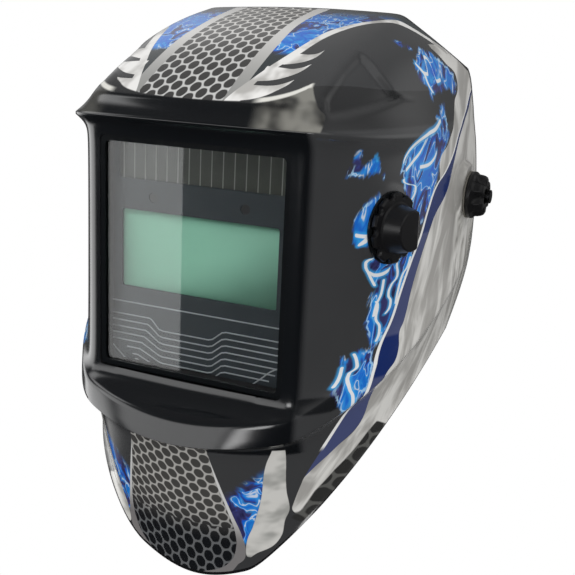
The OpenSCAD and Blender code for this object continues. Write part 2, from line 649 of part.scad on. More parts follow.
module side_arm() difference() {
    union() {
        translate([arm_in, -arm_len / 2, -arm_h / 2]) cube([arm_t, arm_len, arm_h]);
        for (y = [-post_y, post_y]) translate([0, y, 0]) bar_x(post_r, band_a - 8, arm_in + 0.1);
    }
    translate([arm_in - 1, -block_len / 2 - distance_travel - 0.3, -slot_h / 2])
        cube([arm_t + 2, block_len + 2 * distance_travel + 0.6, slot_h]);
    tilted() translate([0, 0, -60]) linear_extrude(120)
        polygon(concat(band_line(band_t, tail_end)));
}
module side_arm_left() color(black) side_arm();
module side_arm_right() color(black) other_side() side_arm();

// Rear half of the band, which telescopes over the tails of the front half
function yoke_half(out) = concat([[yoke_a + out, yoke_start]],
    [for (a = [0:5:90]) [(yoke_a + out) * pow(cos(a), 0.8),
        yoke_mid + (rear_reach + 2 - yoke_mid + out) * pow(sin(a), 0.8)]]);
function yoke_line(out) = let (h = yoke_half(out))
    concat(h, [for (i = [len(h) - 2:-1:0]) [-h[i][0], h[i][1]]]);
module rear_band() color(black) tilted() difference() {
    translate([0, 0, band_low + 2]) linear_extrude(band_h - 4)
        polygon(concat(yoke_line(band_t), backwards(yoke_line(0))));
    plate(house_w, 60, rear_reach, 20, 2);
}
module nape_pad() color(soft_grey) tilted() intersection() {
    plate(house_w - 16, house_h - 6, rear_reach - pad_t - 0.3, pad_t, 4);
    translate([0, 0, -house_h]) linear_extrude(2 * house_h) polygon(yoke_line(-0.3));
}
module ratchet_housing() color(black) tilted() difference() {
    plate(house_w, house_h, rear_reach, house_d, 3);
    plate(house_w - 2 * house_wall, house_h - 6.4, rear_reach + house_wall, house_d, 1);
    for (x = [-house_screw_x, house_screw_x], z = [-house_screw_z, house_screw_z])
        translate([x, 0, z]) disc_y(0.9, rear_reach + 2, house_d);
}
module ratchet_cover() color(black) tilted() difference() {
    plate(house_w, house_h, rear_face, cover_t, 3);
    disc_y(spindle_r + run_gap, rear_face - 1, 10);
    for (x = [-house_screw_x, house_screw_x], z = [-house_screw_z, house_screw_z])
        translate([x, 0, z]) disc_y(1, rear_face - 1, 10);
}
module housing_screws() color(steel) tilted()
    for (x = [-house_screw_x, house_screw_x], z = [-house_screw_z, house_screw_z])
        translate([x, 0, z]) {
            disc_y(0.9, rear_face - 4, cover_t + 4);
            disc_y(1.7, rear_face + cover_t, 1.2);
        }
module ratchet_knob() color(black) tilted() difference() {
    disc_y(ratchet_knob_r, rear_face + cover_t + 2, ratchet_knob_t);
    for (a = [0:30:330]) rotate([0, a, 0]) translate([ratchet_knob_r + 2, 0, 0])
        disc_y(4.4, rear_face, 40);
    disc_y(spindle_r, rear_face, spindle_end - rear_face);
}

// Pinion with true involute flanks, and the two straight racks that it drives
backlash = 0.14;
base_r = pitch_r * cos(pressure);
function involute(r) = r <= base_r ? 0 : let (a = acos(base_r / r)) tan(a) * 180 / PI - a;
function half_tooth(r) = 90 / teeth - backlash / pitch_r * 180 / PI + involute(pitch_r) - involute(r);
flank = [pitch_r - 1.2 * tooth_m, base_r, pitch_r - 0.1, pitch_r + 0.4, pitch_r + 0.8 * tooth_m];
module pinion_outline() polygon([for (k = [0:teeth - 1]) each concat(
    [for (i = [0:4]) let (a = 90 + k * 360 / teeth - half_tooth(flank[i])) flank[i] * [cos(a), sin(a)]],
    [for (i = [4:-1:0]) let (a = 90 + k * 360 / teeth + half_tooth(flank[i])) flank[i] * [cos(a), sin(a)]])]);
module ratchet_pinion() color(steel) tilted() {
    translate([0, rack_y + rack_t + 0.3, 0]) rotate([90, 0, 0]) linear_extrude(rack_t + 0.6) pinion_outline();
    disc_y(spindle_r, rack_y + rack_t, spindle_end - rack_y - rack_t);
}
rack_step = PI * tooth_m;
rack_half = rack_step / 4 - backlash;
function rack_tooth(k) = let (c = k * rack_step + rack_step / 2, s = tan(pressure)) [
    [c - rack_half - 1.1 * s, pitch_r + 1.1], [c - rack_half + 0.8 * s, pitch_r - 0.8],
    [c + rack_half - 0.8 * s, pitch_r - 0.8], [c + rack_half + 1.1 * s, pitch_r + 1.1]];
module rack() {
    first = ceil((rack_lead - rack_len) / rack_step + 0.2);
    last = floor(rack_lead / rack_step - 1.2);
    translate([0, rack_y + rack_t, 0]) rotate([90, 0, 0]) linear_extrude(rack_t)
        polygon(concat([[rack_lead - rack_len, pitch_r + 6], [rack_lead - rack_len, pitch_r + 1.1]],
            [for (k = [first:last]) each rack_tooth(k)],
            [[rack_lead, pitch_r + 1.1], [rack_lead, pitch_r + 6]]));
}
module rack_upper() color(dark_grey) tilted() rack();
module rack_lower() color(dark_grey) tilted() rotate([0, 180, 0]) rack();

helmet_shell();
lens_holder_frame();
holder_screws();
front_cover_lens();
lens_gasket();
adf_front_housing();
adf_rear_housing();
solar_panel();
lcd_filter();
arc_sensors();
circuit_board();
coin_cells();
battery_door();
trimmer_pots();
inner_cover_lens();
sensitivity_dial();
delay_dial();
test_button();
test_switch();
cartridge_retainer();
shade_dial_plate();
shade_pot();
shade_pot_cover();
pot_nut();
pot_shaft();
shade_knob();
shade_lead();
pivot_bush_left();
pivot_bush_right();
outer_washer_left();
outer_washer_right();
slide_block_left();
slide_block_right();
pivot_bolt_left();
pivot_bolt_right();
friction_washer_left();
friction_washer_right();
tension_knob_left();
tension_knob_right();
knob_insert_left();
knob_insert_right();
headband();
brow_pad();
crown_strap_left();
crown_strap_right();
crown_strap_peg();
side_arm_left();
side_arm_right();
rear_band();
nape_pad();
ratchet_housing();
ratchet_cover();
housing_screws();
ratchet_knob();
ratchet_pinion();
rack_upper();
rack_lower();
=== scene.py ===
import json
import math

import bmesh
import bpy
import numpy as np
from mathutils import Matrix, Vector


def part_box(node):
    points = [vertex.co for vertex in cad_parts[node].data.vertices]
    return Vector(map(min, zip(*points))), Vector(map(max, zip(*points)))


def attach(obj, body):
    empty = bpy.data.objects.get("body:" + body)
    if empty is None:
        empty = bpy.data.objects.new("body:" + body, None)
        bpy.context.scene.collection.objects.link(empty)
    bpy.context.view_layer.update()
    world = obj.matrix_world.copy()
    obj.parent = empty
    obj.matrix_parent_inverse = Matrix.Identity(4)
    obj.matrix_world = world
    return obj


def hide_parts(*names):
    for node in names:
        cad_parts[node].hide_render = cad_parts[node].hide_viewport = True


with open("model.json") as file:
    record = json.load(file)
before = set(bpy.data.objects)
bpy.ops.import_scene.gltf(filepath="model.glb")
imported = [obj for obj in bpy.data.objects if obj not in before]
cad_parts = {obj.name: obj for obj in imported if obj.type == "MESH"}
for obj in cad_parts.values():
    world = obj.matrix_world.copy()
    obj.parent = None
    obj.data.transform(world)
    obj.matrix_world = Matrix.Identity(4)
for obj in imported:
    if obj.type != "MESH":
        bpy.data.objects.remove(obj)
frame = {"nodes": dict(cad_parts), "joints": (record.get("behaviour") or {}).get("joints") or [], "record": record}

bl_info = {
    "name": "Welding Helmet",
    "version": (1, 0, 0),
    "blender": (4, 5, 0),
    "location": "View3D > Sidebar > Helmet",
    "description": "Builds the finished welding helmet around its packed frame",
    "category": "Add Mesh",
}

MM = 0.001
NODES = frame["nodes"]
BODY_OF = {node: body for body, members in frame["record"]["behaviour"]["bodies"].items()
           for node in members}
SLOT_OF = {part["node"]: part["material_slot"] for part in frame["record"]["subparts"]}

# ---- Shell surface ----------------------------------------------------------------

# The shell's own origin is the middle of the window face. The tilt axis, which is the
# frame's origin, is this far behind and above it.
PIVOT_BACK = 147.0
PIVOT_RISE = 30.0

# One line per level, from the chin's edge to the crown's edge, in millimetres:
# crease (how often the level counts), centre (y, z), front corner, side and rear edge (x, y, z).
LEVELS = (
    (1, (10, -184), (38, 12, -171), (84, 38, -110), (105, 130, -50)),
    (1, (3, -160), (43, 10, -152), (88, 50, -96), (106, 143, -38)),
    (1, (-8, -127), (51, 5, -120), (92, 57, -82), (107, 152, -27)),
    (1, (-15, -99), (58, 4, -93), (96, 61, -62), (107.5, 158, -18)),
    (1, (-17, -93), (59, 2, -87), (98, 61, -55), (107.5, 161, -13)),
    (2, (-24, -91), (63, -4, -84), (101, 59, -51), (107.5, 163, -8)),
    (2, (-19, -77), (63, -4, -72), (100, 60, -40), (107.5, 165, -2)),
    (1, (-4, -70), (62, -1, -67), (98, 62, -32), (107, 168, 6)),
    (1, (-2, -60), (62, 0, -59), (98, 64, -22), (106.5, 170, 16)),
    (1, (-2, 0), (62, 0, 2), (97, 66, 16), (105, 174, 36)),
    (1, (-2, 60), (62, 0, 60), (96, 68, 53), (102, 177, 57)),
    (1, (-3, 70), (63, 0, 68), (95, 68, 61), (100.5, 178, 64)),
    (2, (-9, 73), (70, -3, 73), (96, 66, 69), (99, 178, 72)),
    (1, (-4.6, 78.5), (65, 2, 78.5), (94, 68, 73.5), (98.2, 178.5, 76)),
    (2, (-3, 84), (62, 4, 84), (92, 70, 78), (97.5, 179, 80)),
    (1, (10, 92), (62, 16, 93), (87, 76, 90), (96, 179, 88)),
    (1, (50, 114), (60, 54, 112), (82, 90, 106), (95, 178, 95)),
    (1, (92, 127), (62, 94, 125), (82, 116, 114), (94, 176, 100)),
    (1, (128, 134), (63, 128, 132), (81, 146, 117), (93, 174, 103)),
)
FACE_STEPS = (0, 0.45, 0.85)
SIDE_STEPS = (0.1, 0.35, 0.62, 0.86, 1)
WINDOW_X = 55.0
WINDOW_Z = 63.0
WINDOW_R = 3.0
# Distances from the art's outlines are kept above 0 by adding this
ART_ZERO = 40.0
# Radius of the flat seats moulded round each pivot and under the shade control
PIVOT_SEAT_R = 17.5
SHADE_SEAT_R = 19.5
# Distance between the bright lines of the solar strip
COLLECTOR_PITCH = 6.6


def level_points(centre, corner, side, rear):
    """Points of one level from the centre line to the rear edge."""
    corner, side, rear = (np.array(p, float) for p in (corner, side, rear))
    start = np.array((0, *centre), float)
    points = []
    for t in FACE_STEPS:
        points.append(start + (corner - start) * (t, t ** 2.2, t ** 1.8))
    points.append(corner)
    middle = 2 * side - (corner + rear) / 2
    for t in SIDE_STEPS:
        points.append((1 - t) ** 2 * corner + 2 * t * (1 - t) * middle + t * t * rear)
    return np.array(points)


def shell_net():
    """Control net of the outer skin, right edge to left edge on each level."""
    rows = []
    for crease, *corners in LEVELS:
        half = level_points(*corners)
        row = np.concatenate([half[:0:-1] * (-1, 1, 1), half])
        rows += [row - (0, PIVOT_BACK, PIVOT_RISE)] * crease
    return np.array(rows)


def spline_matrix(count, places):
    """Uniform cubic B-spline weights of count control points at each place, ends reached."""
    whole = np.zeros((len(places), count + 2))
    for row, place in enumerate(places):
        i = min(int(place), count - 2)
        t = place - i
        whole[row, i:i + 4] = ((1 - t) ** 3, 3 * t ** 3 - 6 * t * t + 4,
                               -3 * t ** 3 + 3 * t * t + 3 * t + 1, t ** 3)
    whole /= 6
    weights = whole[:, 1:-1].copy()
    weights[:, 0] += 2 * whole[:, 0]
    weights[:, 1] -= whole[:, 0]
    weights[:, -1] += 2 * whole[:, -1]
    weights[:, -2] -= whole[:, -1]
    return weights


def surface(net, up, across):
    """Points of the skin in millimetres, one row for each place in up."""
    return np.einsum("ui,ijk,vj->uvk", spline_matrix(len(net), up), net,
                     spline_matrix(len(net[0]), across))


def even_places(net, spacing, across):
    """Places along one direction of the net, no more than spacing apart on the skin."""
    count = net.shape[1 if across else 0]
    coarse = np.linspace(0, count - 1, 8 * (count - 1) + 1)
    other = np.linspace(0, net.shape[0 if across else 1] - 1, 60)
    grid = surface(net, other, coarse) if across else surface(net, coarse, other)
    step = np.linalg.norm(np.diff(grid, axis=1 if across else 0), axis=2)
    longest = np.percentile(step, 80, axis=0 if across else 1)
    travelled = np.concatenate([[0], np.cumsum(longest)])
    wanted = np.linspace(0, travelled[-1], int(travelled[-1] / spacing) + 1)
    return np.interp(wanted, travelled, coarse)


def snap(places, wanted):
    """The nearest of the places is moved to each wanted one."""
    places = places.copy()
    for value in wanted:
        places[np.abs(places - value).argmin()] = value
    return places


def outward(grid):
    """Unit normals of a grid of points, pointing out of the shell."""
    across = np.gradient(grid, axis=1)
    up = np.gradient(grid, axis=0)
    normal = np.cross(across, up)
    return normal / np.linalg.norm(normal, axis=2, keepdims=True)


def smooth_step(values, low, high):
    t = np.clip((values - low) / (high - low), 0, 1)
    return t * t * (3 - 2 * t)


def inside_distance(points, outline):
    """Distance of each point from a closed outline, positive inside it."""
    nearest = np.full(points.shape[:-1], 1e9)
    inside = np.zeros(points.shape[:-1], bool)
    for start, end in zip(outline, (*outline[1:], outline[0])):
        a = np.array(start, float)
        b = np.array(end, float)
        along = np.clip(((points - a) @ (b - a)) / ((b - a) @ (b - a)), 0, 1)
        nearest = np.minimum(nearest, np.linalg.norm(points - a - along[..., None] * (b - a), axis=-1))
        rises = (a[1] > points[..., 1]) != (b[1] > points[..., 1])
        with np.errstate(divide="ignore", invalid="ignore"):
            crossing = (b[0] - a[0]) * (points[..., 1] - a[1]) / (b[1] - a[1]) + a[0]
        inside ^= rises & (points[..., 0] < crossing)
    return np.where(inside, nearest, -nearest)


# ---- Sizes and colours ---------------------------------------------------------------

def colour(name, value, words):
    return bpy.props.FloatVectorProperty(name=name, description=words, subtype="COLOR",
                                         size=3, min=0, max=1, default=value)


def length(name, value, words):
    return bpy.props.FloatProperty(name=name, description=words, subtype="DISTANCE",
                                   unit="LENGTH", default=value * MM, min=0)


class HelmetSizes(bpy.types.PropertyGroup):
    """Sizes of the details that the frame doesn't hold."""
    mesh_spacing: length("Mesh Spacing", 1.9, "Distance between the shell's points")
    wall: length("Wall", 2.8, "Thickness of the shell")
    scoop_depth: length("Scoop Depth", 2.6, "Depth of the recess beside the brow")
    cell_pitch: length("Cell Pitch", 6.4, "Distance between cells of the honeycomb")
    edge_bevel: length("Edge Bevel", 0.35, "Width of the rounding on moulded edges")
    seat_blend: length("Seat Blend", 3, "Width of the slope round a moulded seat")


class HelmetColours(bpy.types.PropertyGroup):
    """Colours of the paints and plastics."""
    gloss_black: colour("Gloss Black", (0.0035, 0.0045, 0.006), "Paint of the brow and window box")
    charcoal: colour("Charcoal", (0.044, 0.045, 0.047), "Paint of the sides")
    white: colour("White", (0.86, 0.86, 0.84), "White lines and blades")
    blue: colour("Blue", (0.003, 0.10, 0.62), "Middle of the flames")
    cyan: colour("Cyan", (0.04, 0.42, 0.88), "Bright parts of the flames")
    navy: colour("Navy", (0.006, 0.022, 0.13), "Stripe behind the white line")
    slate: colour("Slate", (0.060, 0.075, 0.18), "Lighter stretches of the stripe")
    filter_green: colour("Filter Green", (0.30, 0.60, 0.45), "Light shutter of the cartridge")


def sizes():
    return bpy.context.scene.helmet_sizes


def colours():
    return bpy.context.scene.helmet_colours


# ---- Node trees ------------------------------------------------------------------------

class Finish:
    """One material's node tree, with short calls that add nodes and join them."""

    def __init__(self, name):
        self.material = bpy.data.materials.new(name)
        self.material.use_nodes = True
        self.tree = self.material.node_tree
        self.shader = self.tree.nodes["Principled BSDF"]
        self.place = None

    def join(self, value, socket):
        if isinstance(value, bpy.types.NodeSocket):
            self.tree.links.new(value, socket)
        elif hasattr(socket.default_value, "__len__"):
            value = tuple(value)
            filled = value + (1.0,) * (len(socket.default_value) - len(value))
            socket.default_value = filled
        else:
            socket.default_value = value

    def node(self, kind, inputs=(), **settings):
        made = self.tree.nodes.new(kind)
        for key, value in settings.items():
            setattr(made, key, value)
        for key, value in dict(inputs).items():
            self.join(value, made.inputs[key])
        return made

    def calc(self, operation, a, b=0.0, c=0.0):
        made = self.node("ShaderNodeMath", {0: a, 1: b, 2: c}, operation=operation)
        return made.outputs[0]

    def vector(self, operation, a, b=(0, 0, 0)):
        made = self.node("ShaderNodeVectorMath", {0: a, 1: b}, operation=operation)
        return made.outputs[0]

    def step(self, value, low, high):
        """0 below low, 1 above high, smooth between."""
        made = self.node("ShaderNodeMapRange", {"Value": value, "From Min": low, "From Max": high},
                         interpolation_type="SMOOTHSTEP")
        return made.outputs[0]

    def mix(self, share, a, b):
        made = self.node("ShaderNodeMix", {0: share, 6: a, 7: b}, data_type="RGBA")
        return made.outputs[2]

    def blend(self, share, a, b):
        made = self.node("ShaderNodeMix", {0: share, 2: a, 3: b}, data_type="FLOAT")
        return made.outputs[0]

    def ramp(self, value, stops):
        made = self.node("ShaderNodeValToRGB", {0: value})
        bar = made.color_ramp.elements
        while len(bar) < len(stops):
            bar.new(0.5)
        for element, (place, tint) in zip(bar, stops):
            element.position = place
            element.color = (*tint, 1)
        return made.outputs[0]

    def noise(self, place, scale, detail=3.0, rough=0.5, twist=0.0):
        made = self.node("ShaderNodeTexNoise", {"Vector": place, "Scale": scale, "Detail": detail,
                         "Roughness": rough, "Distortion": twist}, noise_type="FBM")
        return made.outputs[0]

    def millimetres(self):
        """Object coordinates in millimetres."""
        if self.place is None:
            found = self.node("ShaderNodeTexCoord").outputs["Object"]
            scaled = self.node("ShaderNodeVectorMath", {0: found, "Scale": 1 / MM}, operation="SCALE")
            self.place = scaled.outputs[0]
        return self.place

    def axes(self, place=None):
        return self.node("ShaderNodeSeparateXYZ", {0: place or self.millimetres()}).outputs

    def attribute(self, name):
        return self.node("ShaderNodeAttribute", attribute_name=name).outputs["Fac"]

    def through(self, value, points):
        """A smooth curve through points (value, result), for outlines on the shell."""
        points = sorted(points)
        low, high = points[0][0], points[-1][0]
        least = min(p[1] for p in points)
        most = max(p[1] for p in points)
        spread = max(most - least, 0.001)
        share = self.node("ShaderNodeMapRange",
                          {"Value": value, "From Min": low, "From Max": high}).outputs[0]
        made = self.node("ShaderNodeFloatCurve", {"Value": share})
        curve = made.mapping.curves[0]
        for place, result in points[1:-1]:
            curve.points.new((place - low) / (high - low), (result - least) / spread)
        curve.points[0].location = (0, (points[0][1] - least) / spread)
        curve.points[-1].location = (1, (points[-1][1] - least) / spread)
        for point in curve.points:
            point.handle_type = "AUTO_CLAMPED"
        made.mapping.update()
        return self.calc("MULTIPLY_ADD", made.outputs[0], spread, least)

    def bump(self, height, strength, distance):
        made = self.node("ShaderNodeBump", {"Height": height, "Strength": strength,
                         "Distance": distance * MM})
        self.tree.links.new(made.outputs[0], self.shader.inputs["Normal"])

    def set(self, **values):
        """Sets the shader's own sockets, named in plain words."""
        for key, value in values.items():
            self.join(value, self.shader.inputs[key.replace("_", " ").title()
                      .replace("Ior", "IOR")])
        return self.material


def plastic(name, tint, roughness, grain=900.0, depth=0.04, variation=0.12):
    """Moulded plastic with a fine grain and slightly uneven colour."""
    made = Finish(name)
    place = made.millimetres()
    cloud = made.noise(place, 0.05, 4, 0.6)
    shade = made.calc("MULTIPLY_ADD", cloud, 2 * variation, 1 - variation)
    tinted = made.node("ShaderNodeVectorMath", {0: tint, "Scale": shade}, operation="SCALE").outputs[0]
    grains = made.noise(place, grain / 1000, 2, 0.6)
    made.bump(grains, 0.6, depth)
    uneven = made.calc("MULTIPLY_ADD", made.noise(place, 0.25, 3), 0.14, roughness - 0.07)
    return made.set(base_color=tinted, roughness=uneven)


def metal(name, tint, roughness, brushed=(1, 1, 1)):
    """Bare metal with fine turning marks."""
    made = Finish(name)
    place = made.vector("MULTIPLY", made.millimetres(), brushed)
    marks = made.noise(place, 2.5, 4, 0.7)
    uneven = made.calc("MULTIPLY_ADD", marks, 0.25, roughness - 0.1)
    made.bump(marks, 0.25, 0.03)
    cloud = made.noise(made.millimetres(), 0.12, 3)
    shade = made.calc("MULTIPLY_ADD", cloud, 0.24, 0.88)
    tinted = made.node("ShaderNodeVectorMath", {0: tint, "Scale": shade}, operation="SCALE").outputs[0]
    return made.set(base_color=tinted, roughness=uneven, metallic=1.0)


def foam(name, tint):
    """Foam pad under a knitted cover."""
    made = Finish(name)
    place = made.millimetres()
    weave = made.node("ShaderNodeTexVoronoi", {"Vector": place, "Scale": 1.1}).outputs[0]
    cloud = made.noise(place, 0.08, 4)
    shade = made.calc("MULTIPLY_ADD", weave, 0.5, made.calc("MULTIPLY_ADD", cloud, 0.3, 0.55))
    tinted = made.node("ShaderNodeVectorMath", {0: tint, "Scale": shade}, operation="SCALE").outputs[0]
    made.bump(weave, 0.8, 0.5)
    made.set(base_color=tinted, roughness=0.92)
    made.shader.inputs["Sheen Weight"].default_value = 0.4
    made.shader.inputs["Sheen Roughness"].default_value = 0.5
    return made.material


def clear_lens():
    """Clear polycarbonate with a hard coat."""
    made = Finish("clear_lens")
    haze = made.noise(made.millimetres(), 0.03, 3)
    made.set(base_color=(0.96, 0.985, 0.98), roughness=made.calc("MULTIPLY", haze, 0.02),
             transmission_weight=1.0, ior=1.5)
    path = made.node("ShaderNodeLightPath").outputs["Is Shadow Ray"]
    clear = made.node("ShaderNodeBsdfTransparent").outputs[0]
    both = made.node("ShaderNodeMixShader", {0: path, 1: made.shader.outputs[0], 2: clear})
    end = made.tree.nodes["Material Output"]
    made.tree.links.new(both.outputs[0], end.inputs[0])
    return made.material


def solar_cells():
    """Dark cell strip crossed by fine bright collector lines."""
    made = Finish("solar_cell")
    x = made.axes()[0]
    wrapped = made.calc("WRAP", x, COLLECTOR_PITCH / 2, -COLLECTOR_PITCH / 2)
    line = made.step(made.calc("ABSOLUTE", wrapped), 0.36, 0.2)
    cloud = made.noise(made.millimetres(), 0.3, 4)
    base = made.mix(cloud, (0.040, 0.043, 0.036), (0.060, 0.063, 0.052))
    made.bump(line, 0.3, 0.05)
    return made.set(base_color=made.mix(line, base, (0.30, 0.31, 0.28)),
                    roughness=made.blend(line, 0.35, 0.3))


def shutter_glass():
    """Green light shutter, glossy and a little deeper at its edges."""
    made = Finish("filter_glass")
    z = made.axes()[2]
    low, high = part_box("lcd_filter")
    off = made.calc("ABSOLUTE", made.calc("SUBTRACT", z, (low.z + high.z) / 2 / MM))
    edge = made.step(off, 15, 22)
    green = colours().filter_green
    cloud = made.noise(made.millimetres(), 0.02, 2)
    made.set(base_color=made.mix(edge, tuple(green), tuple(c * 0.92 for c in green)),
             roughness=made.calc("MULTIPLY_ADD", cloud, 0.04, 0.30))
    made.shader.inputs["Specular IOR Level"].default_value = 0.15
    return made.material


def circuit():
    """Green board with copper tracks."""
    made = Finish("circuit")
    cells = made.node("ShaderNodeTexVoronoi", {"Vector": made.millimetres(), "Scale": 0.35},
                      feature="DISTANCE_TO_EDGE").outputs[0]
    track = made.step(cells, 0.10, 0.05)
    made.bump(track, 0.4, 0.05)
    return made.set(base_color=made.mix(track, (0.012, 0.11, 0.045), (0.10, 0.28, 0.12)),
                    roughness=made.blend(track, 0.45, 0.3))


# ---- Art on the shell ------------------------------------------------------------------

# Outlines are in millimetres in the frame. On the sides they give y at each z, on the crown
# x' at each y or y at each x', and on the chin x' at each z, where x' is the distance from the
# art's own centre line. FLAMES, VEINS, SIDE_CELLS and SCOOP are points (y, z).
CROWN_CENTRE = ((-150, -8), (-100, -9.5), (-30, -11.5), (10, -12))
CHIN_CENTRE = -4.0
# Distance between cells of the crown along its strip, and of the chin's lowest part
CROWN_STEP = 10.1
CHIN_STEP = 10.4
CHIN_SLANT = 0.17
CHIN_FOLD = -174.0
BAND_IN = ((-150, 24.8), (-100, 24), (-30, 23))
BAND_OUT = ((-150, 24), (-144, 27), (-131, 31.4), (-100, 31.2), (-60, 29.5), (-20, 31))
SPINE_OUT = ((-150, 25), (-146, 26), (-131, 31.7), (-118, 36.5), (-105, 41.2), (-87, 46),
             (-75, 49), (-66, 52.5), (-52, 60), (-39, 70), (-29, 77), (-15, 87), (0, 95))
SPINE_IN = ((-150, 33), (-146, 34), (-131, 35.8), (-118, 41), (-104, 46.5), (-93, 49.2),
            (-82, 52), (-68, 57), (-54, 63.8), (-43.6, 72.3), (-30, 80.5), (-15, 90), (0, 98))
BLADES = (
    (((33, -134.7), (39, -134.4), (45.5, -133.2), (49.7, -130.8), (53.8, -126.8)),
     ((33, -146.6), (39, -144.5), (45, -140.7), (49, -136), (52.2, -131.3), (53.8, -126.8))),
    (((40, -118.3), (47.5, -118.5), (52.2, -116.7), (56.6, -112)),
     ((36, -131.3), (42.2, -129.6), (47.5, -126.6), (51.6, -122.8), (54.6, -118.3), (56.6, -112))),
    (((45.5, -103.8), (51, -103.5), (54.7, -101.8), (57.6, -97)),
     ((43, -115.4), (49.2, -112.6), (53.8, -108.8), (56.4, -104.1), (57.6, -97))),
)
# Outline of the painted reflection on the brow's corners: its top runs along the brow's upper lip (x', z), and its
# side edge gives x' at each z
BROW_REFLECTION_TOP = ((36, 55.4), (44, 56.2), (48.6, 57.1), (57.3, 60), (62.2, 62.7), (64.5, 63.8), (72, 63.8))
BROW_REFLECTION_SIDE = ((42, 77), (46, 76.5), (51, 75), (53, 73), (58, 69), (64, 64.4))
SIDE_EDGE = ((-170, 50), (-150, 52), (-125, 61), (-115, 62), (80, 62))
SILVER_FRONT = ((-165, -126), (-163, -130), (-158, -131.9), (-145, -131.6), (-140, -131),
                (-126.6, -119.4), (-111.5, -104.3), (-100, -103), (-87.7, -101.5), (-78.4, -91.6),
                (-65, -86.5), (-60, -82), (-41, -74), (-26.5, -66), (-8, -53), (3, -45), (12, -45),
                (21, -46), (32, -32), (40, -23), (54.6, -9), (66, 3), (76, -10), (84, -20))
WHITE_LINE = ((-145, -132), (-137, -130.4), (-125, -126.6), (-110, -121), (-97, -116), (-89.5, -112),
              (-80, -108), (-70, -102), (-57, -92.5), (-42, -85), (-28, -76.7), (-16, -68), (-2, -60),
              (9, -51.5), (17, -37), (25, -25), (39, -8), (51, 14), (62, 31), (70, 45))
NAVY_BACK = ((-145, -133), (-140, -131), (-126.6, -119.4), (-111.5, -104.3), (-100, -103),
             (-87.7, -101.5), (-78.4, -91.6), (-65, -86.5), (-60, -82), (-41, -74), (-26.5, -66),
             (-8, -53), (7, -33), (17, -26), (27.5, -17), (39, -3), (50.5, 19), (62, 34), (70, 46))
RIDGE_TOP = ((-134, -91), (-120, -84), (-90, -68), (-70, -57))
RIDGE_LOW = ((-134, -99), (-120, -94), (-95, -81), (-70, -68))
FLAMES = (
    ((-36.2, 84.2), (-10.8, 75.8), (-1, 69.7), (1.2, 63.6), (-6.6, 57.6), (-13.6, 61.4), (-39.7, 58.5),
     (-44, 55.1), (-45, 63.2), (-52.8, 67.2), (-50.7, 75.5)),
    ((-58.6, 86.4), (-51, 86), (-43.9, 82.9), (-50, 82.4)),
    ((-26, 56), (-36, 37), (-44, 38), (-46, 47.2)),
    ((-40.6, 43.5), (-63.2, 39.6), (-80.6, 33.9), (-89.5, 24.8), (-87.1, 16.8), (-87, 5.6), (-73.9, -0.8),
     (-68.1, -8.3), (-54.2, 4.8), (-48.3, 13.7), (-46.3, 20.8), (-37.7, 29.1), (-29.8, 37.6)),
    ((-107.6, 12), (-117.5, 6.5), (-123.2, -2.2), (-123, -8), (-119.4, -14), (-110, -14), (-104, 0)),
    ((-104, -16), (-113.9, -22.5), (-111, -30), (-106, -37.5), (-111, -42), (-111.5, -50.6), (-112, -58.7),
     (-107.4, -70), (-103.7, -70.6), (-90.8, -54.3), (-80.8, -34.8), (-74.1, -23.3), (-80, -14)),
    ((-126, -70.5), (-119.5, -73), (-115.7, -68), (-107, -72), (-108, -80), (-112.9, -88), (-118.7, -96),
     (-123, -106), (-126.5, -104), (-132.6, -89.5), (-128.5, -83)),
    ((-127.5, 21), (-122, 35), (-118, 27), (-110, 31), (-102.5, 19), (-110, 22), (-119, 20)),
)
VEINS = (
    ((-40, 46), (-52, 41.5), (-63, 39.6), (-78.6, 34.8), (-86, 29), (-89, 24)),
    ((-65, 38), (-70, 31.4), (-79, 25.8), (-86.4, 21.3)),
    ((-49, 30), (-55, 25), (-62, 22.8), (-72, 22.4)),
    ((-87, 17), (-82.8, 14.5), (-78, 18.5), (-75, 12), (-80, 5), (-86, 3)),
    ((-36, 84), (-36, 79), (-32, 75), (-29, 70), (-23, 67), (-30, 66), (-40, 70), (-51, 76)),
    ((-51, 76), (-44, 70), (-43, 65), (-39, 59)),
    ((-122, -8), (-117, -9), (-113, -4), (-110, 3)),
    ((-119, -15), (-113, -4)),
    ((-107.7, -20), (-113.6, -23.8), (-111, -29.6), (-106, -37.5)),
    ((-112, -28.5), (-104, -31), (-98, -30), (-95, -27)),
    ((-88, -20), (-90, -27), (-89, -32.5), (-94, -38), (-96, -43), (-94, -47), (-99, -54)),
    ((-100, -33), (-101.6, -41), (-105, -47), (-107, -54)),
    ((-77, -24), (-80, -30), (-84.5, -34), (-88, -42), (-90, -50)),
    ((-107, -44), (-104, -48), (-105, -54), (-102, -60), (-105, -68)),
    ((-119, -70), (-117, -77), (-122, -81), (-124, -87), (-122, -94), (-123, -102)),
    ((-125, -76), (-127, -82), (-132, -88)),
)
CHIN_HALF = ((-214, 4), (-211, 10), (-197, 30), (-189, 33), (-181, 34), (-161, 31), (-141, 26.5),
             (-123, 24), (-115, 23))
WEDGE_OUT = ((-214, 22), (-200, 33), (-188, 38.5), (-180, 37.5), (-165, 33.8), (-148, 29.5),
             (-130, 25), (-121, 23))
SWORD_IN = ((-194, 40), (-191, 38.5), (-185, 39), (-170, 44), (-152, 49), (-132, 52), (-122, 55.5),
            (-113, 59.4))
SWORD_OUT = ((-194, 40), (-191, 43), (-177, 57), (-168, 58.5), (-158, 61), (-147, 60.5),
             (-122, 61.5), (-113, 59.6))
SIDE_CELLS = ((-91, -117), (-97, -121.5), (-105, -130), (-115.5, -140), (-123.5, -151),
              (-127.5, -162), (-131.5, -166), (-118, -176), (-85, -150), (-75, -125))
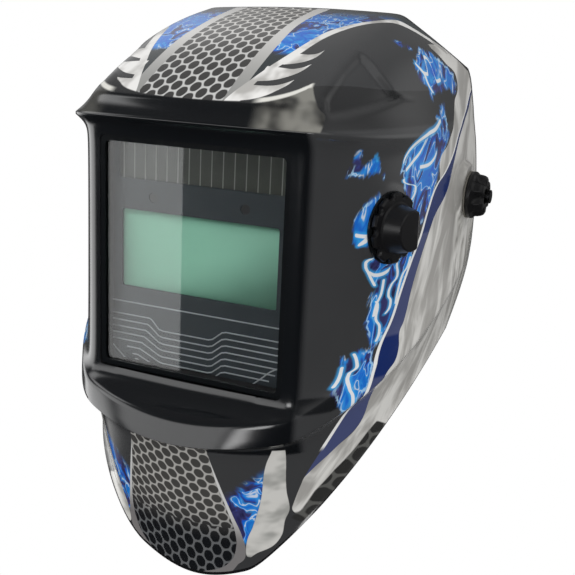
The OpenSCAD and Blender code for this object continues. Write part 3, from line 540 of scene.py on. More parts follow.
SCOOP = [(-127, 64), (-109.7, 73.4), (-97.4, 78.5), (-90, 81.2), (-88.4, 78.5), (-87.3, 70),
         (-83.3, 62.4), (-75.4, 59.1), (-66, 57.2), (-77, 57), (-104, 52.8), (-126, 49.8),
         (-138, 49), (-137, 54), (-133, 60)]


def honeycomb(made, across, along, pitch, step):
    """0 in the middle of each cell, 1 on the walls between cells. Cells are step apart along."""
    even = made.calc("MULTIPLY", along, pitch / step)
    place = made.node("ShaderNodeCombineXYZ", {0: across, 1: even}).outputs[0]
    half = (math.sqrt(3) / 2 * pitch, pitch / 2, 1)
    low = tuple(-v for v in half)
    near = []
    for shift in ((0, 0, 0), half):
        moved = made.vector("ADD", place, shift)
        wrapped = made.node("ShaderNodeVectorMath", {0: moved, 1: half, 2: low}, operation="WRAP")
        near.append(made.vector("MULTIPLY", wrapped.outputs[0], (1, 1, 0)))
    reach = [made.node("ShaderNodeVectorMath", {0: v}, operation="LENGTH").outputs["Value"] for v in near]
    second = made.calc("LESS_THAN", reach[1], reach[0])
    chosen = made.node("ShaderNodeMix", {0: second, 4: near[0], 5: near[1]}, data_type="VECTOR").outputs[1]
    flat = made.axes(made.vector("ABSOLUTE", chosen))
    slant = made.calc("MULTIPLY_ADD", flat[0], math.sqrt(3) / 2, made.calc("MULTIPLY", flat[1], 0.5))
    straight = made.calc("MAXIMUM", flat[1], slant)
    round_reach = made.calc("MINIMUM", reach[0], reach[1])
    rounded_reach = made.blend(0.7, straight, round_reach)
    return made.step(rounded_reach, 0.385 * pitch, 0.47 * pitch)


def flames(made, flow):
    """Colour inside the flames: navy and blue tongues with cyan glow and fine white veins."""
    tint = colours()
    warp = made.noise(flow, 0.05, 2, 0.5)
    shift = made.node("ShaderNodeVectorMath", {0: (0, 45, 20), "Scale": warp}, operation="SCALE").outputs[0]
    bent = made.vector("ADD", flow, shift)
    body = made.noise(bent, 0.075, 3, 0.6, 1.0)
    ridge = made.noise(bent, 0.075, 2, 0.5, 0.8)
    ridge = made.calc("ABSOLUTE", made.calc("SUBTRACT", ridge, 0.5))
    vein = made.step(ridge, 0.016, 0.002)
    glow = made.step(ridge, 0.075, 0.005)
    base = made.ramp(body, ((0.30, (0.016, 0.016, 0.070)), (0.42, (0.040, 0.042, 0.16)),
                            (0.50, tuple(tint.blue)), (0.62, (0.006, 0.20, 0.66)),
                            (0.74, tuple(tint.cyan))))
    lit = made.mix(made.calc("MULTIPLY", glow, 0.6), base, tuple(tint.cyan))
    return made.mix(made.calc("MULTIPLY", vein, 0.7), lit, tuple(tint.white))


def shell_paint():
    """Gloss paint of the shell, with its printed art under clear lacquer, and painted shade, light and reflections
    in places.
    """
    made = Finish("shell_paint")
    tint = colours()
    x, y, z = made.axes()
    wide = made.calc("ABSOLUTE", x)
    along = made.attribute("along")
    rim = made.attribute("rim")
    pitch = sizes().cell_pitch / MM
    soft_noise = made.noise(made.millimetres(), 0.05, 2)

    def both(a, *others):
        for other in others:
            a = made.calc("MULTIPLY", a, other)
        return a

    def neither(a):
        return made.calc("SUBTRACT", 1.0, a)

    def past(value, limit, soft=0.15):
        """1 where value is more than limit."""
        return made.step(made.calc("SUBTRACT", value, limit), -soft, soft)

    # Where each kind of art may lie
    side = past(wide, made.through(z, SIDE_EDGE), 1.0)
    crown = past(z, made.through(wide, ((0, 54.6), (20, 54.9), (36, 56), (52, 60.5), (62, 64), (80, 62),
                                        (110, 60))), 0.3)
    brow = both(past(z, 43.5, 0.5), past(-118.0, y, 1))
    crown_x = made.calc("SUBTRACT", x, made.through(y, CROWN_CENTRE))
    middle = made.calc("ABSOLUTE", crown_x)

    # Ground: charcoal, with the brow, window box and chin ridge in gloss black. Painted shade darkens the charcoal
    # on the sides between the brow's lip and the crown, where the scoops sink, and darkens the ridge's downward
    # facet along each side nearly to gloss black
    cloud = made.noise(made.millimetres(), 0.012, 3)
    charcoal = made.mix(cloud, tuple(c * 0.72 for c in tint.charcoal), tuple(c * 1.3 for c in tint.charcoal))
    # painted shade: charcoal dimmed to 0.6 on the sides above the brow's lip, round the sunk scoops
    ground = made.mix(both(past(z, 44.0, 1), neither(crown)), charcoal, tuple(c * 0.6 for c in tint.charcoal))
    front = both(neither(past(wide, 64.0, 2.0)), past(54.5, z, 0.5), past(z, -124.0, 1))
    # painted shade: the ridge's facet along each side, which faces down, darkened nearly to gloss black
    ridge_side_shade = both(past(made.through(y, RIDGE_TOP), z, 1.0), past(z, made.through(y, RIDGE_LOW), 1.0),
                      past(-90.0, y, 3))
    black = made.calc("MAXIMUM", front, made.calc("MULTIPLY", ridge_side_shade, 0.85))
    paint = made.mix(black, ground, tuple(tint.gloss_black))

    # Silver sides, streaked along the stripe
    lean = made.node("ShaderNodeVectorRotate", {"Vector": made.millimetres(), "Angle": math.radians(-62)},
                     rotation_type="X_AXIS").outputs[0]
    streaked = made.vector("MULTIPLY", lean, (1, 0.22, 1))
    streaks = made.noise(streaked, 0.055, 3, 0.55, 1.4)
    chrome = made.ramp(streaks, ((0.30, (0.05, 0.05, 0.047)), (0.41, (0.22, 0.215, 0.20)),
                                 (0.49, (0.50, 0.49, 0.46)), (0.58, (0.74, 0.73, 0.70)),
                                 (0.70, (0.34, 0.33, 0.31))))
    calm = made.mix(made.step(streaks, 0.36, 0.62), (0.38, 0.37, 0.35), (0.72, 0.71, 0.68))
    troubled = both(past(46.0, rim, 12), past(12.0, z, 12), past(z, -74.0, 12))
    silver = made.mix(troubled, calm, chrome)
    silver_front = made.through(z, SILVER_FRONT)
    silver_side = both(side, past(y, silver_front), past(86.0, z, 0.3), past(z, -163.0, 1))
    paint = made.mix(silver_side, paint, silver)

    # Flames in front of the silver
    flow = made.vector("MULTIPLY", lean, (1, 0.45, 1))
    fire = flames(made, flow)
    lick = made.noise(made.vector("MULTIPLY", lean, (1, 0.5, 1)), 0.16, 3, 0.6, 0.6)
    ragged = made.calc("MULTIPLY_ADD", lick, 9.0, -4.8 - ART_ZERO)
    depth = made.calc("ADD", made.attribute("fire_depth"), ragged)
    white_line = made.through(z, WHITE_LINE)
    fore = made.calc("MINIMUM", white_line, silver_front)
    allowed = both(side, past(fore, y))
    lit = both(made.step(depth, -1.2, 1.6), allowed)
    paint = made.mix(both(lit, 0.96), paint, fire)
    rimmed = both(made.step(made.calc("ABSOLUTE", made.calc("SUBTRACT", depth, 0.9)), 0.9, 0.25),
                  made.step(soft_noise, 0.50, 0.56), allowed)
    paint = made.mix(both(rimmed, 0.7), paint, (0.45, 0.72, 0.92))

    # Veins inside the flames, each a curve along whichever way it runs further
    vein = None
    for line in VEINS:
        tall = abs(line[0][1] - line[-1][1]) > abs(line[0][0] - line[-1][0])
        points = sorted({(b, a) if tall else (a, b) for a, b in line})
        kept = [points[0]]
        for point in points[1:]:
            if point[0] > kept[-1][0] + 1.2:
                kept.append(point)
        value, other = (z, y) if tall else (y, z)
        off = made.calc("ABSOLUTE", made.calc("SUBTRACT", other, made.through(value, kept)))
        span = both(past(value, kept[0][0], 1.5), past(kept[-1][0], value, 1.5))
        near = both(made.step(off, 4.5, 0.0), span)
        vein = near if vein is None else made.calc("MAXIMUM", vein, near)
    vein = both(vein, allowed)
    paint = made.mix(both(made.step(vein, 0.2, 0.9), 0.7), paint, tuple(tint.cyan))
    paint = made.mix(both(made.step(vein, 0.84, 0.93), 0.92), paint, tuple(tint.white))

    # Navy stripe and its white line
    stripe = both(past(y, white_line), past(made.through(z, NAVY_BACK), y), side,
                  past(60.0, z, 1), past(z, -142.0, 1))
    dark = made.calc("MAXIMUM", past(z, -14.0, 1), both(past(z, -86.0, 1), past(-66.0, z, 1)))
    paint = made.mix(stripe, paint, made.mix(dark, tuple(tint.slate), tuple(tint.navy)))
    line_off = made.calc("ABSOLUTE", made.calc("SUBTRACT", y, white_line))
    line = both(past(1.1, line_off, 0.2), side, past(62.0, z, 1), past(z, -124.0, 2))
    paint = made.mix(line, paint, tuple(tint.white))

    # Crown: honeycomb strip, silver bands, blue between band and spine, spine and blades
    band_in = made.through(y, BAND_IN)
    band_out = made.through(y, BAND_OUT)
    spine_out = made.through(y, SPINE_OUT)
    spine_in = made.through(y, SPINE_IN)
    wedge = both(past(middle, band_out), past(spine_out, middle), crown)
    paint = made.mix(wedge, paint, (0.034, 0.042, 0.046))
    paint = made.mix(both(wedge, past(y, -105.0, 3), past(-38.0, y, 14)), paint, fire)
    strip = both(past(band_in, middle), crown)
    cells = honeycomb(made, crown_x, along, pitch, CROWN_STEP)
    # painted light: honeycomb cells and walls lighter on top of the crown, greyer where it bends down to the brow
    crown_top_light = made.step(y, -130, -20)
    wall_tint = made.mix(crown_top_light, (0.56, 0.56, 0.55), (0.72, 0.70, 0.66))
    cell_tint = made.mix(crown_top_light, (0.045, 0.044, 0.043), (0.085, 0.080, 0.074))
    paint = made.mix(strip, paint, made.mix(cells, cell_tint, wall_tint))
    band = both(past(middle, band_in), past(band_out, middle), crown)
    # painted light: the silver bands lighter on top of the crown, greyer towards the brow
    paint = made.mix(band, paint, made.mix(made.step(y, -145, -70), (0.30, 0.30, 0.29), (0.66, 0.65, 0.63)))
    blade = both(past(middle, spine_out), past(spine_in, middle), crown)
    for top, low in BLADES:
        shape = both(past(made.through(middle, top), y), past(y, made.through(middle, low)),
                     past(middle, low[0][0] - 1.0), past(top[-1][0], middle), crown)
        blade = made.calc("MAXIMUM", blade, shape)
    sheen = made.step(made.noise(streaked, 0.09, 2), 0.38, 0.62)
    satin = made.mix(sheen, (0.46, 0.45, 0.43), (0.84, 0.83, 0.81))
    paint = made.mix(blade, paint, satin)

    # Painted reflection at the brow's corners, weaker on the right side, and a painted highlight line along the
    # brow's upper lip
    brow_reflection = both(past(made.through(middle, BROW_REFLECTION_TOP), z), past(middle, 46.0, 6),
                past(made.through(z, BROW_REFLECTION_SIDE), middle, 0.5), brow)
    reflection_tint = made.mix(made.step(soft_noise, 0.38, 0.60), (0.012, 0.012, 0.012), (0.24, 0.235, 0.21))
    right_side = past(0.0, crown_x, 2)
    strength = made.calc("MULTIPLY_ADD", right_side, -0.62, 0.9)
    paint = made.mix(both(brow_reflection, strength), paint, reflection_tint)
    lip_off = made.calc("ABSOLUTE", made.calc("SUBTRACT", z, made.through(middle, BROW_REFLECTION_TOP)))
    # painted highlight: a thin pale line along the brow's upper lip
    lip_highlight = both(past(1.0, lip_off, 0.5), past(middle, 42.0, 3), past(64.5, middle, 1), brow)
    paint = made.mix(lip_highlight, paint, (0.74, 0.73, 0.68))

    # Chin: honeycomb, wedge, sword and a little blue
    low = both(past(-121.0, z, 0.5), past(80.0, wide, 2))
    chin_x = made.calc("SUBTRACT", x, CHIN_CENTRE)
    chin = made.calc("ABSOLUTE", chin_x)
    chin_half = made.through(z, CHIN_HALF)
    wedge_out = made.through(z, WEDGE_OUT)
    sword_in = made.through(z, SWORD_IN)
    ember = both(past(chin, wedge_out, 0.5), past(sword_in, chin, 0.5), past(z, -184.0, 2),
                 past(made.calc("MULTIPLY_ADD", chin, 0.9, -182.0), z, 5))
    paint = made.mix(both(ember, low), paint, fire)
    leaning = made.calc("MULTIPLY_ADD", z, CHIN_SLANT, chin_x)
    fold = past(CHIN_FOLD, z, 0.3)
    cell_low = made.mix(fold, honeycomb(made, leaning, along, pitch, pitch * 1.04),
                        honeycomb(made, chin_x, along, pitch, CHIN_STEP))
    # painted shade: honeycomb and wedge darken towards the chin's lowest edge, which faces down
    chin_underside_shade = made.step(z, -186, -160)
    low_tint = made.mix(cell_low, made.mix(chin_underside_shade, (0.006, 0.007, 0.009), (0.060, 0.058, 0.055)),
                        made.mix(chin_underside_shade, (0.13, 0.135, 0.14), (0.42, 0.41, 0.39)))
    paint = made.mix(both(past(chin_half, chin, 0.4), low), paint, low_tint)
    paint = made.mix(both(past(chin, chin_half), past(wedge_out, chin), low), paint,
                     made.mix(chin_underside_shade, (0.20, 0.19, 0.19), (0.62, 0.62, 0.61)))
    sword = both(past(chin, sword_in), past(made.through(z, SWORD_OUT), chin), past(z, -193.0, 0.5),
                 past(-113.0, z, 0.3))
    folds = made.noise(made.vector("MULTIPLY", made.millimetres(), (0.35, 1, 1)), 0.09, 2)
    steel_tint = made.mix(made.step(folds, 0.35, 0.6), (0.36, 0.36, 0.34), (0.64, 0.63, 0.60))
    paint = made.mix(both(sword, low), paint, steel_tint)

    # Large faint cells on the lower side, small ones along the rear edge
    side_cells = both(made.step(made.attribute("side_cells"), ART_ZERO - 0.5, ART_ZERO + 0.5), side)
    cell_side = honeycomb(made, made.calc("MULTIPLY", y, 0.55), z, pitch, pitch * 1.5)
    faint = made.mix(both(cell_side, 0.6), (0.030, 0.030, 0.029), (0.16, 0.16, 0.15))
    paint = made.mix(side_cells, paint, faint)
    edge_cells = both(past(rim, 2.6, 0.3), made.step(rim, 14.0, 6.0), past(-24.0, z, 5),
                      past(z, -78.0, 5), side)
    small = made.mix(honeycomb(made, rim, z, 3.6, 4.4), (0.10, 0.10, 0.095), (0.52, 0.51, 0.47))
    paint = made.mix(both(edge_cells, 0.75), paint, small)

    # Black edge all round
    paint = made.mix(past(2.3, rim, 0.25), paint, (0.006, 0.006, 0.007))

    made.bump(made.noise(made.millimetres(), 0.05, 2), 0.05, 0.2)
    uneven = made.calc("MULTIPLY_ADD", made.noise(made.millimetres(), 0.35, 2), 0.06, 0.17)
    made.set(base_color=paint, roughness=uneven)
    made.shader.inputs["Coat Weight"].default_value = 0.6
    made.shader.inputs["Coat Roughness"].default_value = 0.05
    made.shader.inputs["Specular IOR Level"].default_value = 0.5
    return made.material


FINISHES = {}


def finish_for(slot):
    """The material of one of the record's slots, made the first time it is asked for."""
    makers = {
        "shell_paint": shell_paint,
        "shell_inside": lambda: plastic("shell_inside", (0.010, 0.010, 0.011), 0.5, 600, 0.05),
        "black_gloss": lambda: plastic("black_gloss", (0.005, 0.006, 0.007), 0.14, 120, 0.01),
        "black_plastic": lambda: plastic("black_plastic", (0.012, 0.012, 0.013), 0.42, 1400, 0.05),
        "knob_plastic": lambda: plastic("knob_plastic", (0.008, 0.008, 0.009), 0.33, 1100, 0.03),
        "cartridge_face": lambda: plastic("cartridge_face", (0.026, 0.034, 0.042), 0.45, 900, 0.03),
        "clear_lens": clear_lens,
        "filter_glass": shutter_glass,
        "solar_cell": solar_cells,
        "circuit": circuit,
        "steel": lambda: metal("steel", (0.55, 0.56, 0.58), 0.32, (1, 6, 6)),
        "black_steel": lambda: metal("black_steel", (0.035, 0.035, 0.037), 0.38, (1, 6, 6)),
        "brass": lambda: metal("brass", (0.62, 0.42, 0.16), 0.3, (1, 6, 6)),
        "fibre_washer": lambda: plastic("fibre_washer", (0.16, 0.15, 0.13), 0.8, 1500, 0.08),
        "gasket": lambda: plastic("gasket", (0.008, 0.008, 0.008), 0.75, 800, 0.04),
        "lead_jacket": lambda: plastic("lead_jacket", (0.012, 0.012, 0.012), 0.55, 700, 0.03),
        "pad_foam": lambda: foam("pad_foam", (0.10, 0.10, 0.105)),
        "red_button": lambda: plastic("red_button", (0.32, 0.02, 0.015), 0.4, 1200, 0.02),
        # painted highlight: the cartridge's moulded ridges given a light grey, much lighter than its housing
        "relief_line": lambda: plastic("relief_line", (0.36, 0.38, 0.40), 0.4, 900, 0.01),
    }
    if slot not in FINISHES:
        FINISHES[slot] = makers[slot]()
    return FINISHES[slot]


# ---- Shared making ------------------------------------------------------------------------

OWN_FINISH = {"pivot_bolt_left": "black_steel", "pivot_bolt_right": "black_steel"}


def add_object(name, mesh, body, slot, *nodes):
    """Puts a finished mesh in the scene on its body, in place of the CAD nodes named."""
    made = bpy.data.objects.new(name, mesh)
    bpy.context.scene.collection.objects.link(made)
    if not mesh.materials:
        mesh.materials.append(finish_for(OWN_FINISH.get(nodes[0] if nodes else "", slot)))
    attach(made, body)
    if nodes:
        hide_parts(*nodes)
    return made


def mesh_from(made, name, smooth=True):
    mesh = bpy.data.meshes.new(name)
    made.to_mesh(mesh)
    made.free()
    if smooth:
        mesh.shade_smooth()
    return mesh


def copied(node):
    """A merged copy of a CAD node's mesh, its flat faces whole again."""
    made = bmesh.new()
    made.from_mesh(NODES[node].data)
    bmesh.ops.remove_doubles(made, verts=made.verts, dist=0.004 * MM)
    bmesh.ops.dissolve_limit(made, angle_limit=math.radians(1.5), verts=made.verts, edges=made.edges)
    return made


def rounded(made_object, width, segments=2, angle=32):
    """Rounds a piece's hard edges with a live bevel, its flat faces kept flat."""
    bevel = made_object.modifiers.new("edges", "BEVEL")
    bevel.width = width
    bevel.segments = segments
    bevel.limit_method = "ANGLE"
    bevel.angle_limit = math.radians(angle)
    bevel.use_clamp_overlap = True
    normals = made_object.modifiers.new("normals", "WEIGHTED_NORMAL")
    normals.weight = 100
    return made_object


def plain(node):
    """A CAD node again, with flat faces, for panes of glass."""
    mesh = mesh_from(copied(node), node + "_mesh", smooth=False)
    return add_object(node.replace("_", "-"), mesh, BODY_OF[node], SLOT_OF[node], node)


def softened(node, width=None, segments=2):
    """A CAD node again, with moulded edges."""
    mesh = mesh_from(copied(node), node + "_mesh")
    made = add_object(node.replace("_", "-"), mesh, BODY_OF[node], SLOT_OF[node], node)
    return rounded(made, width if width is not None else sizes().edge_bevel, segments)


def turned(profile, steps, shape):
    """Spins a profile of (radius, height) about z, then lets shape move each point.

    shape gets the radius, angle and height of a point in millimetres and gives its new radius."""
    made = bmesh.new()
    ring = [made.verts.new((r * MM, 0, h * MM)) for r, h in profile]
    edges = [made.edges.new(pair) for pair in zip(ring, ring[1:])]
    bmesh.ops.spin(made, geom=ring + edges, cent=(0, 0, 0), axis=(0, 0, 1), angle=math.tau,
                   steps=steps, use_merge=True)
    bmesh.ops.remove_doubles(made, verts=made.verts, dist=0.01 * MM)
    for vert in made.verts:
        r = math.hypot(vert.co.x, vert.co.y)
        if r > 0.05 * MM:
            angle = math.atan2(vert.co.y, vert.co.x)
            new = shape(r / MM, angle, vert.co.z / MM) * MM
            vert.co.x *= new / r
            vert.co.y *= new / r
    bmesh.ops.recalc_face_normals(made, faces=made.faces)
    return made


def placed(made, centre, aim):
    """Stands a turned piece at centre with its z along aim and its y level."""
    up = Vector(aim).normalized()
    level = Vector((-up.y, up.x, 0)).normalized()
    matrix = Matrix((level.cross(up), level, up)).transposed().to_4x4()
    matrix.translation = centre
    bmesh.ops.transform(made, matrix=matrix, verts=made.verts)
    return made


# ---- Pieces ----------------------------------------------------------------------------------

class BuildShell(bpy.types.Operator):
    """Moulded shell with its brow, window opening, chin ridge, scoops and seats"""
    bl_idname = "helmet.shell"
    bl_label = "Shell"

    def execute(self, context):
        spacing = sizes().mesh_spacing / MM
        net = shell_net()
        up = even_places(net, spacing, False)
        across = even_places(net, spacing, True)
        # The window's straight edges lie on lines of the mesh
        centre = (net.shape[1] - 1) / 2
        fine = np.linspace(0, len(net) - 1, 4000)
        heights = surface(net, fine, [centre])[:, 0, 2] + PIVOT_RISE
        level = [fine[np.abs(heights - side * WINDOW_Z).argmin()] for side in (-1, 1)]
        widths = surface(net, [np.mean(level)], np.linspace(centre, centre + 3, 3000))[0, :, 0]
        reach = 3 * np.abs(widths - WINDOW_X).argmin() / 3000
        up = snap(up, level)
        across = snap(across, (centre - reach, centre, centre + reach))
        grid = surface(net, up, across)
        grid = self.with_scoops(grid)
        grid = self.with_seats(grid)
        made = bmesh.new()
        rows, columns = grid.shape[:2]
        bmesh.ops.create_grid(made, x_segments=columns - 1, y_segments=rows - 1, size=0.5)
        along_layer = made.verts.layers.float.new("along")
        rim_layer = made.verts.layers.float.new("rim")
        cells_layer = made.verts.layers.float.new("side_cells")
        flame_layer = made.verts.layers.float.new("fire_depth")
        along, rim = self.travel(grid)
        cells = np.maximum(0, ART_ZERO + inside_distance(grid[..., 1:], SIDE_CELLS))
        flame = np.maximum.reduce([inside_distance(grid[..., 1:], outline) for outline in FLAMES])
        flame = np.maximum(0, ART_ZERO + flame)
        for vert in made.verts:
            i = round((vert.co.y + 0.5) * (rows - 1))
            j = round((vert.co.x + 0.5) * (columns - 1))
            vert.co = Vector(grid[i, j]) * MM
            vert[along_layer] = along[i, j]
            vert[rim_layer] = rim[i, j]
            vert[cells_layer] = cells[i, j]
            vert[flame_layer] = flame[i, j]
        self.open_window(made)
        mesh = mesh_from(made, "shell_mesh")
        mesh.materials.append(finish_for("shell_paint"))
        mesh.materials.append(finish_for("shell_inside"))
        shell = add_object("shell", mesh, "shell", "shell_paint", "helmet_shell")
        wall = shell.modifiers.new("wall", "SOLIDIFY")
        wall.thickness = sizes().wall
        wall.offset = -1
        wall.use_rim = True
        wall.material_offset = 1
        wall.material_offset_rim = 1
        rounded(shell, 0.5 * MM, 2, 55)
        return {"FINISHED"}

    def with_scoops(self, grid):
        """Sinks the panel on each side of the brow."""
        depth = sizes().scoop_depth / MM
        inside = inside_distance(grid[..., 1:], SCOOP)
        sink = smooth_step(inside, -0.6, 4.2) * (np.abs(grid[..., 0]) > 54)
        return grid - outward(grid) * (sink * depth)[..., None]

    def with_seats(self, grid):
        """Raises a flat seat round each pivot, and one under the shade control."""
        grid = grid.copy()
        blend = sizes().seat_blend / MM
        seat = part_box("outer_washer_left")[0].x / MM
        reach = np.hypot(grid[..., 1], grid[..., 2])
        share = smooth_step(reach, PIVOT_SEAT_R + blend, PIVOT_SEAT_R)
        target = np.sign(grid[..., 0]) * seat
        grid[..., 0] += share * (target - grid[..., 0])
        point, aim = shade_seat()
        offset = grid - np.array(point) / MM
        height = offset @ np.array(aim)
        flat = np.linalg.norm(offset - height[..., None] * np.array(aim), axis=2)
        near = np.abs(height) < 12
        share = smooth_step(flat, SHADE_SEAT_R + blend, SHADE_SEAT_R) * near
        return grid + (share * (0 - height))[..., None] * np.array(aim)

    def travel(self, grid):
        """Distance along the centre line from the chin, and from the nearest edge, in millimetres."""
        step = np.linalg.norm(np.diff(grid, axis=0), axis=2)
        column = np.concatenate([np.zeros((1, grid.shape[1])), np.cumsum(step, axis=0)])
        centre = column[:, grid.shape[1] // 2]
        along = np.repeat(centre[:, None], grid.shape[1], axis=1)
        side = np.linalg.norm(np.diff(grid, axis=1), axis=2)
        row = np.concatenate([np.zeros((grid.shape[0], 1)), np.cumsum(side, axis=1)], axis=1)
        rim = np.minimum.reduce([column, column[-1] - column, row, row[:, -1:] - row])
        return along, rim

    def open_window(self, made):
        """Cuts the window's opening and rounds its corners."""
        def inside(point):
            return (abs(point.x / MM) < WINDOW_X and abs(point.z / MM + PIVOT_RISE) < WINDOW_Z
                    and point.y / MM < 20 - PIVOT_BACK)
        gone = [f for f in made.faces if inside(f.calc_center_median())]
        bmesh.ops.delete(made, geom=gone, context="FACES")
        for vert in made.verts:
            if not vert.is_boundary or not inside(vert.co * 0.97):
                continue
            x = vert.co.x / MM
            z = vert.co.z / MM + PIVOT_RISE
            if abs(abs(x) - WINDOW_X) < abs(abs(z) - WINDOW_Z):
                x = math.copysign(WINDOW_X, x)
            else:
                z = math.copysign(WINDOW_Z, z)
            corner = (WINDOW_X - WINDOW_R, WINDOW_Z - WINDOW_R)
            out = (abs(x) - corner[0], abs(z) - corner[1])
            if out[0] > 0 and out[1] > 0:
                crown_top_light = math.hypot(*out)
                x = math.copysign(corner[0] + out[0] / crown_top_light * WINDOW_R, x)
                z = math.copysign(corner[1] + out[1] / crown_top_light * WINDOW_R, z)
            vert.co.x = x * MM
            vert.co.z = (z - PIVOT_RISE) * MM


def shade_seat():
    """Middle of the shade control's seat, in metres, and the way that it faces."""
    joint = next(j for j in frame["joints"] if j["name"] == "shade_turn")
    aim = Vector(joint["axis"]).normalized()
    if aim.x < 0:
        aim = -aim
    plate = NODES["shade_dial_plate"].data
    reach = [v.co.dot(aim) for v in plate.vertices]
    point = Vector(joint["pos_m"])
    point += (min(reach) - point.dot(aim)) * aim
    return point, aim


class BuildWindow(bpy.types.Operator):
    """Lens holder, its screws, cover lens and gasket"""
    bl_idname = "helmet.window"
    bl_label = "Window"

    def execute(self, context):
        softened("lens_holder_frame", 0.8 * MM, segments=3)
        softened("holder_screws", 0.25 * MM)
        plain("front_cover_lens")
        softened("lens_gasket", 0.15 * MM)
        return {"FINISHED"}


class BuildCartridge(bpy.types.Operator):
    """Filter cartridge with its housings, cells, board, dials and relief lines"""
    bl_idname = "helmet.cartridge"
    bl_label = "Filter Cartridge"

    def execute(self, context):
        for node in ("adf_front_housing", "adf_rear_housing", "cartridge_retainer", "battery_door",
                     "trimmer_pots", "test_switch", "coin_cells", "circuit_board"):
            softened(node, 0.3 * MM)
        for node in ("solar_panel", "lcd_filter", "inner_cover_lens"):
            plain(node)
        softened("arc_sensors", 0.15 * MM)
        for node in ("sensitivity_dial", "delay_dial", "test_button"):
            softened(node, 0.3 * MM)
        self.relief_lines()
        return {"FINISHED"}

    def relief_lines(self):
        """Low ridges that run in bends below the shutter, and the wing under them, in light grey as a painted
        highlight along their crests.
        """
        low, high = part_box("adf_front_housing")
        front = low.y
        half = (high.x - low.x) / 2 / MM - 2.5
        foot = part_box("lcd_filter")[0].z / MM + 1
        curve = bpy.data.curves.new("relief", "CURVE")
        curve.dimensions = "3D"
        curve.bevel_depth = 0.42 * MM
        curve.bevel_resolution = 1
        curve.use_fill_caps = True
        wing = [(-half, foot - 33), (-46, foot - 40), (-42, foot - 43), (-39, foot - 43.8),
                (-37, foot - 41), (-34.6, foot - 42), (-29, foot - 44.5), (-21, foot - 47.5),
                (-13.5, foot - 49), (-2, foot - 48.6), (13, foot - 46), (21.5, foot - 44),
                (24, foot - 45.6), (26.5, foot - 46.4), (33, foot - 43), (39.5, foot - 38),
                (45, foot - 33), (half, foot - 28)]
        shapes = [([(-half, foot - 9), (half, foot - 9)], "VECTOR"), (wing, "AUTO")]
        for k in range(7):
            base = foot - 16.2 - 3.7 * k
            left = -half if k < 5 else -50 + 3.6 * (k - 3)
            right = half if k < 4 else half - 3.4 * (k - 3)
            bend = -28.5 - 1.2 * k
            line = [(left, base), (bend, base), (-27 - 1.2 * k, base - 0.7), (-22.5, base - 5.3),
                    (-20, base - 5.9), (8, base - 5.9), (10.5, base - 5.2), (16, base - 0.7),
                    (18.5, base), (right, base)]
            shapes.append((line, "VECTOR"))
        for shape, handle in shapes:
            spline = curve.splines.new("BEZIER")
            spline.bezier_points.add(len(shape) - 1)
            for point, (x, z) in zip(spline.bezier_points, shape):
                point.co = (x * MM, front, z * MM)
                point.handle_left_type = point.handle_right_type = handle
            spline.resolution_u = 4
        holder = bpy.data.objects.new("relief_holder", curve)
        bpy.context.scene.collection.objects.link(holder)
        mesh = bpy.data.meshes.new_from_object(holder.evaluated_get(bpy.context.evaluated_depsgraph_get()))
        bpy.data.objects.remove(holder)
        mesh.materials.clear()
        mesh.materials.append(finish_for("relief_line"))
        mesh.shade_smooth()
        add_object("cartridge-relief", mesh, "shell", "cartridge_face")
        for side in (-1, 1):
            made = bmesh.new()
            bmesh.ops.create_cube(made, size=1)
            bmesh.ops.scale(made, vec=(9.5 * MM, 0.3 * MM, 6.5 * MM), verts=made.verts)
            bmesh.ops.translate(made, vec=(side * 30 * MM, front, (foot - 11.8) * MM), verts=made.verts)
            tab = add_object(f"cartridge-tab-{'left' if side < 0 else 'right'}", mesh_from(made, "tab_mesh"),
                             "shell", "cartridge_face")
            rounded(tab, 0.1 * MM, 1)


class BuildControls(bpy.types.Operator):
    """Shade control: dial plate, potentiometer, nut, knob and lead"""
    bl_idname = "helmet.controls"
    bl_label = "Shade Control"

    def execute(self, context):
        for node in ("shade_dial_plate", "shade_pot", "shade_pot_cover", "pot_nut", "pot_shaft",
                     "shade_lead"):
            softened(node, 0.25 * MM)
        self.knob()
        return {"FINISHED"}

    def knob(self):
        """Knob with a notched skirt, a tapered barrel and a sloping cut along its end."""
        seat, aim = shade_seat()
        plate = [v.co.dot(aim) for v in NODES["shade_dial_plate"].data.vertices]
        reach = [v.co.dot(aim) for v in NODES["shade_knob"].data.vertices]
        base = seat + (min(reach) - min(plate)) * aim
        tall = (max(reach) - min(reach)) / MM
        skirt_r, skirt_t, barrel_r, end_r = 18.4, 3.2, 13.0, 10.6
        profile = [(3, 0), (skirt_r - 0.8, 0), (skirt_r, 0.7), (skirt_r, skirt_t - 0.9),
                   (skirt_r - 1.0, skirt_t), (barrel_r + 0.9, skirt_t), (barrel_r, skirt_t + 0.9),
                   (end_r, tall - 0.6), (end_r - 0.7, tall), (0, tall)]

        def shape(r, angle, height):
            if height < skirt_t + 0.5 and r > barrel_r + 1.5:
                notch = max(0.0, 1 - ((math.degrees(angle) % 36 - 18) / 8.5) ** 2)
                return r - 2.2 * math.sqrt(notch)
            return r
        made = turned(profile, 160, shape)
        slope = math.radians(32)
        cut = bmesh.ops.bisect_plane(made, geom=[*made.verts, *made.edges, *made.faces],
                                     clear_outer=True, plane_co=(0, 4 * MM, tall * MM),
                                     plane_no=(0, math.sin(slope), math.cos(slope)))
        bmesh.ops.holes_fill(made, edges=[e for e in cut["geom_cut"] if isinstance(e, bmesh.types.BMEdge)])
        mesh = mesh_from(placed(made, base, aim), "shade_knob_mesh")
        knob = add_object("shade-knob", mesh, "shade_control", SLOT_OF["shade_knob"], "shade_knob")
        rounded(knob, 0.4 * MM, 2, 28)


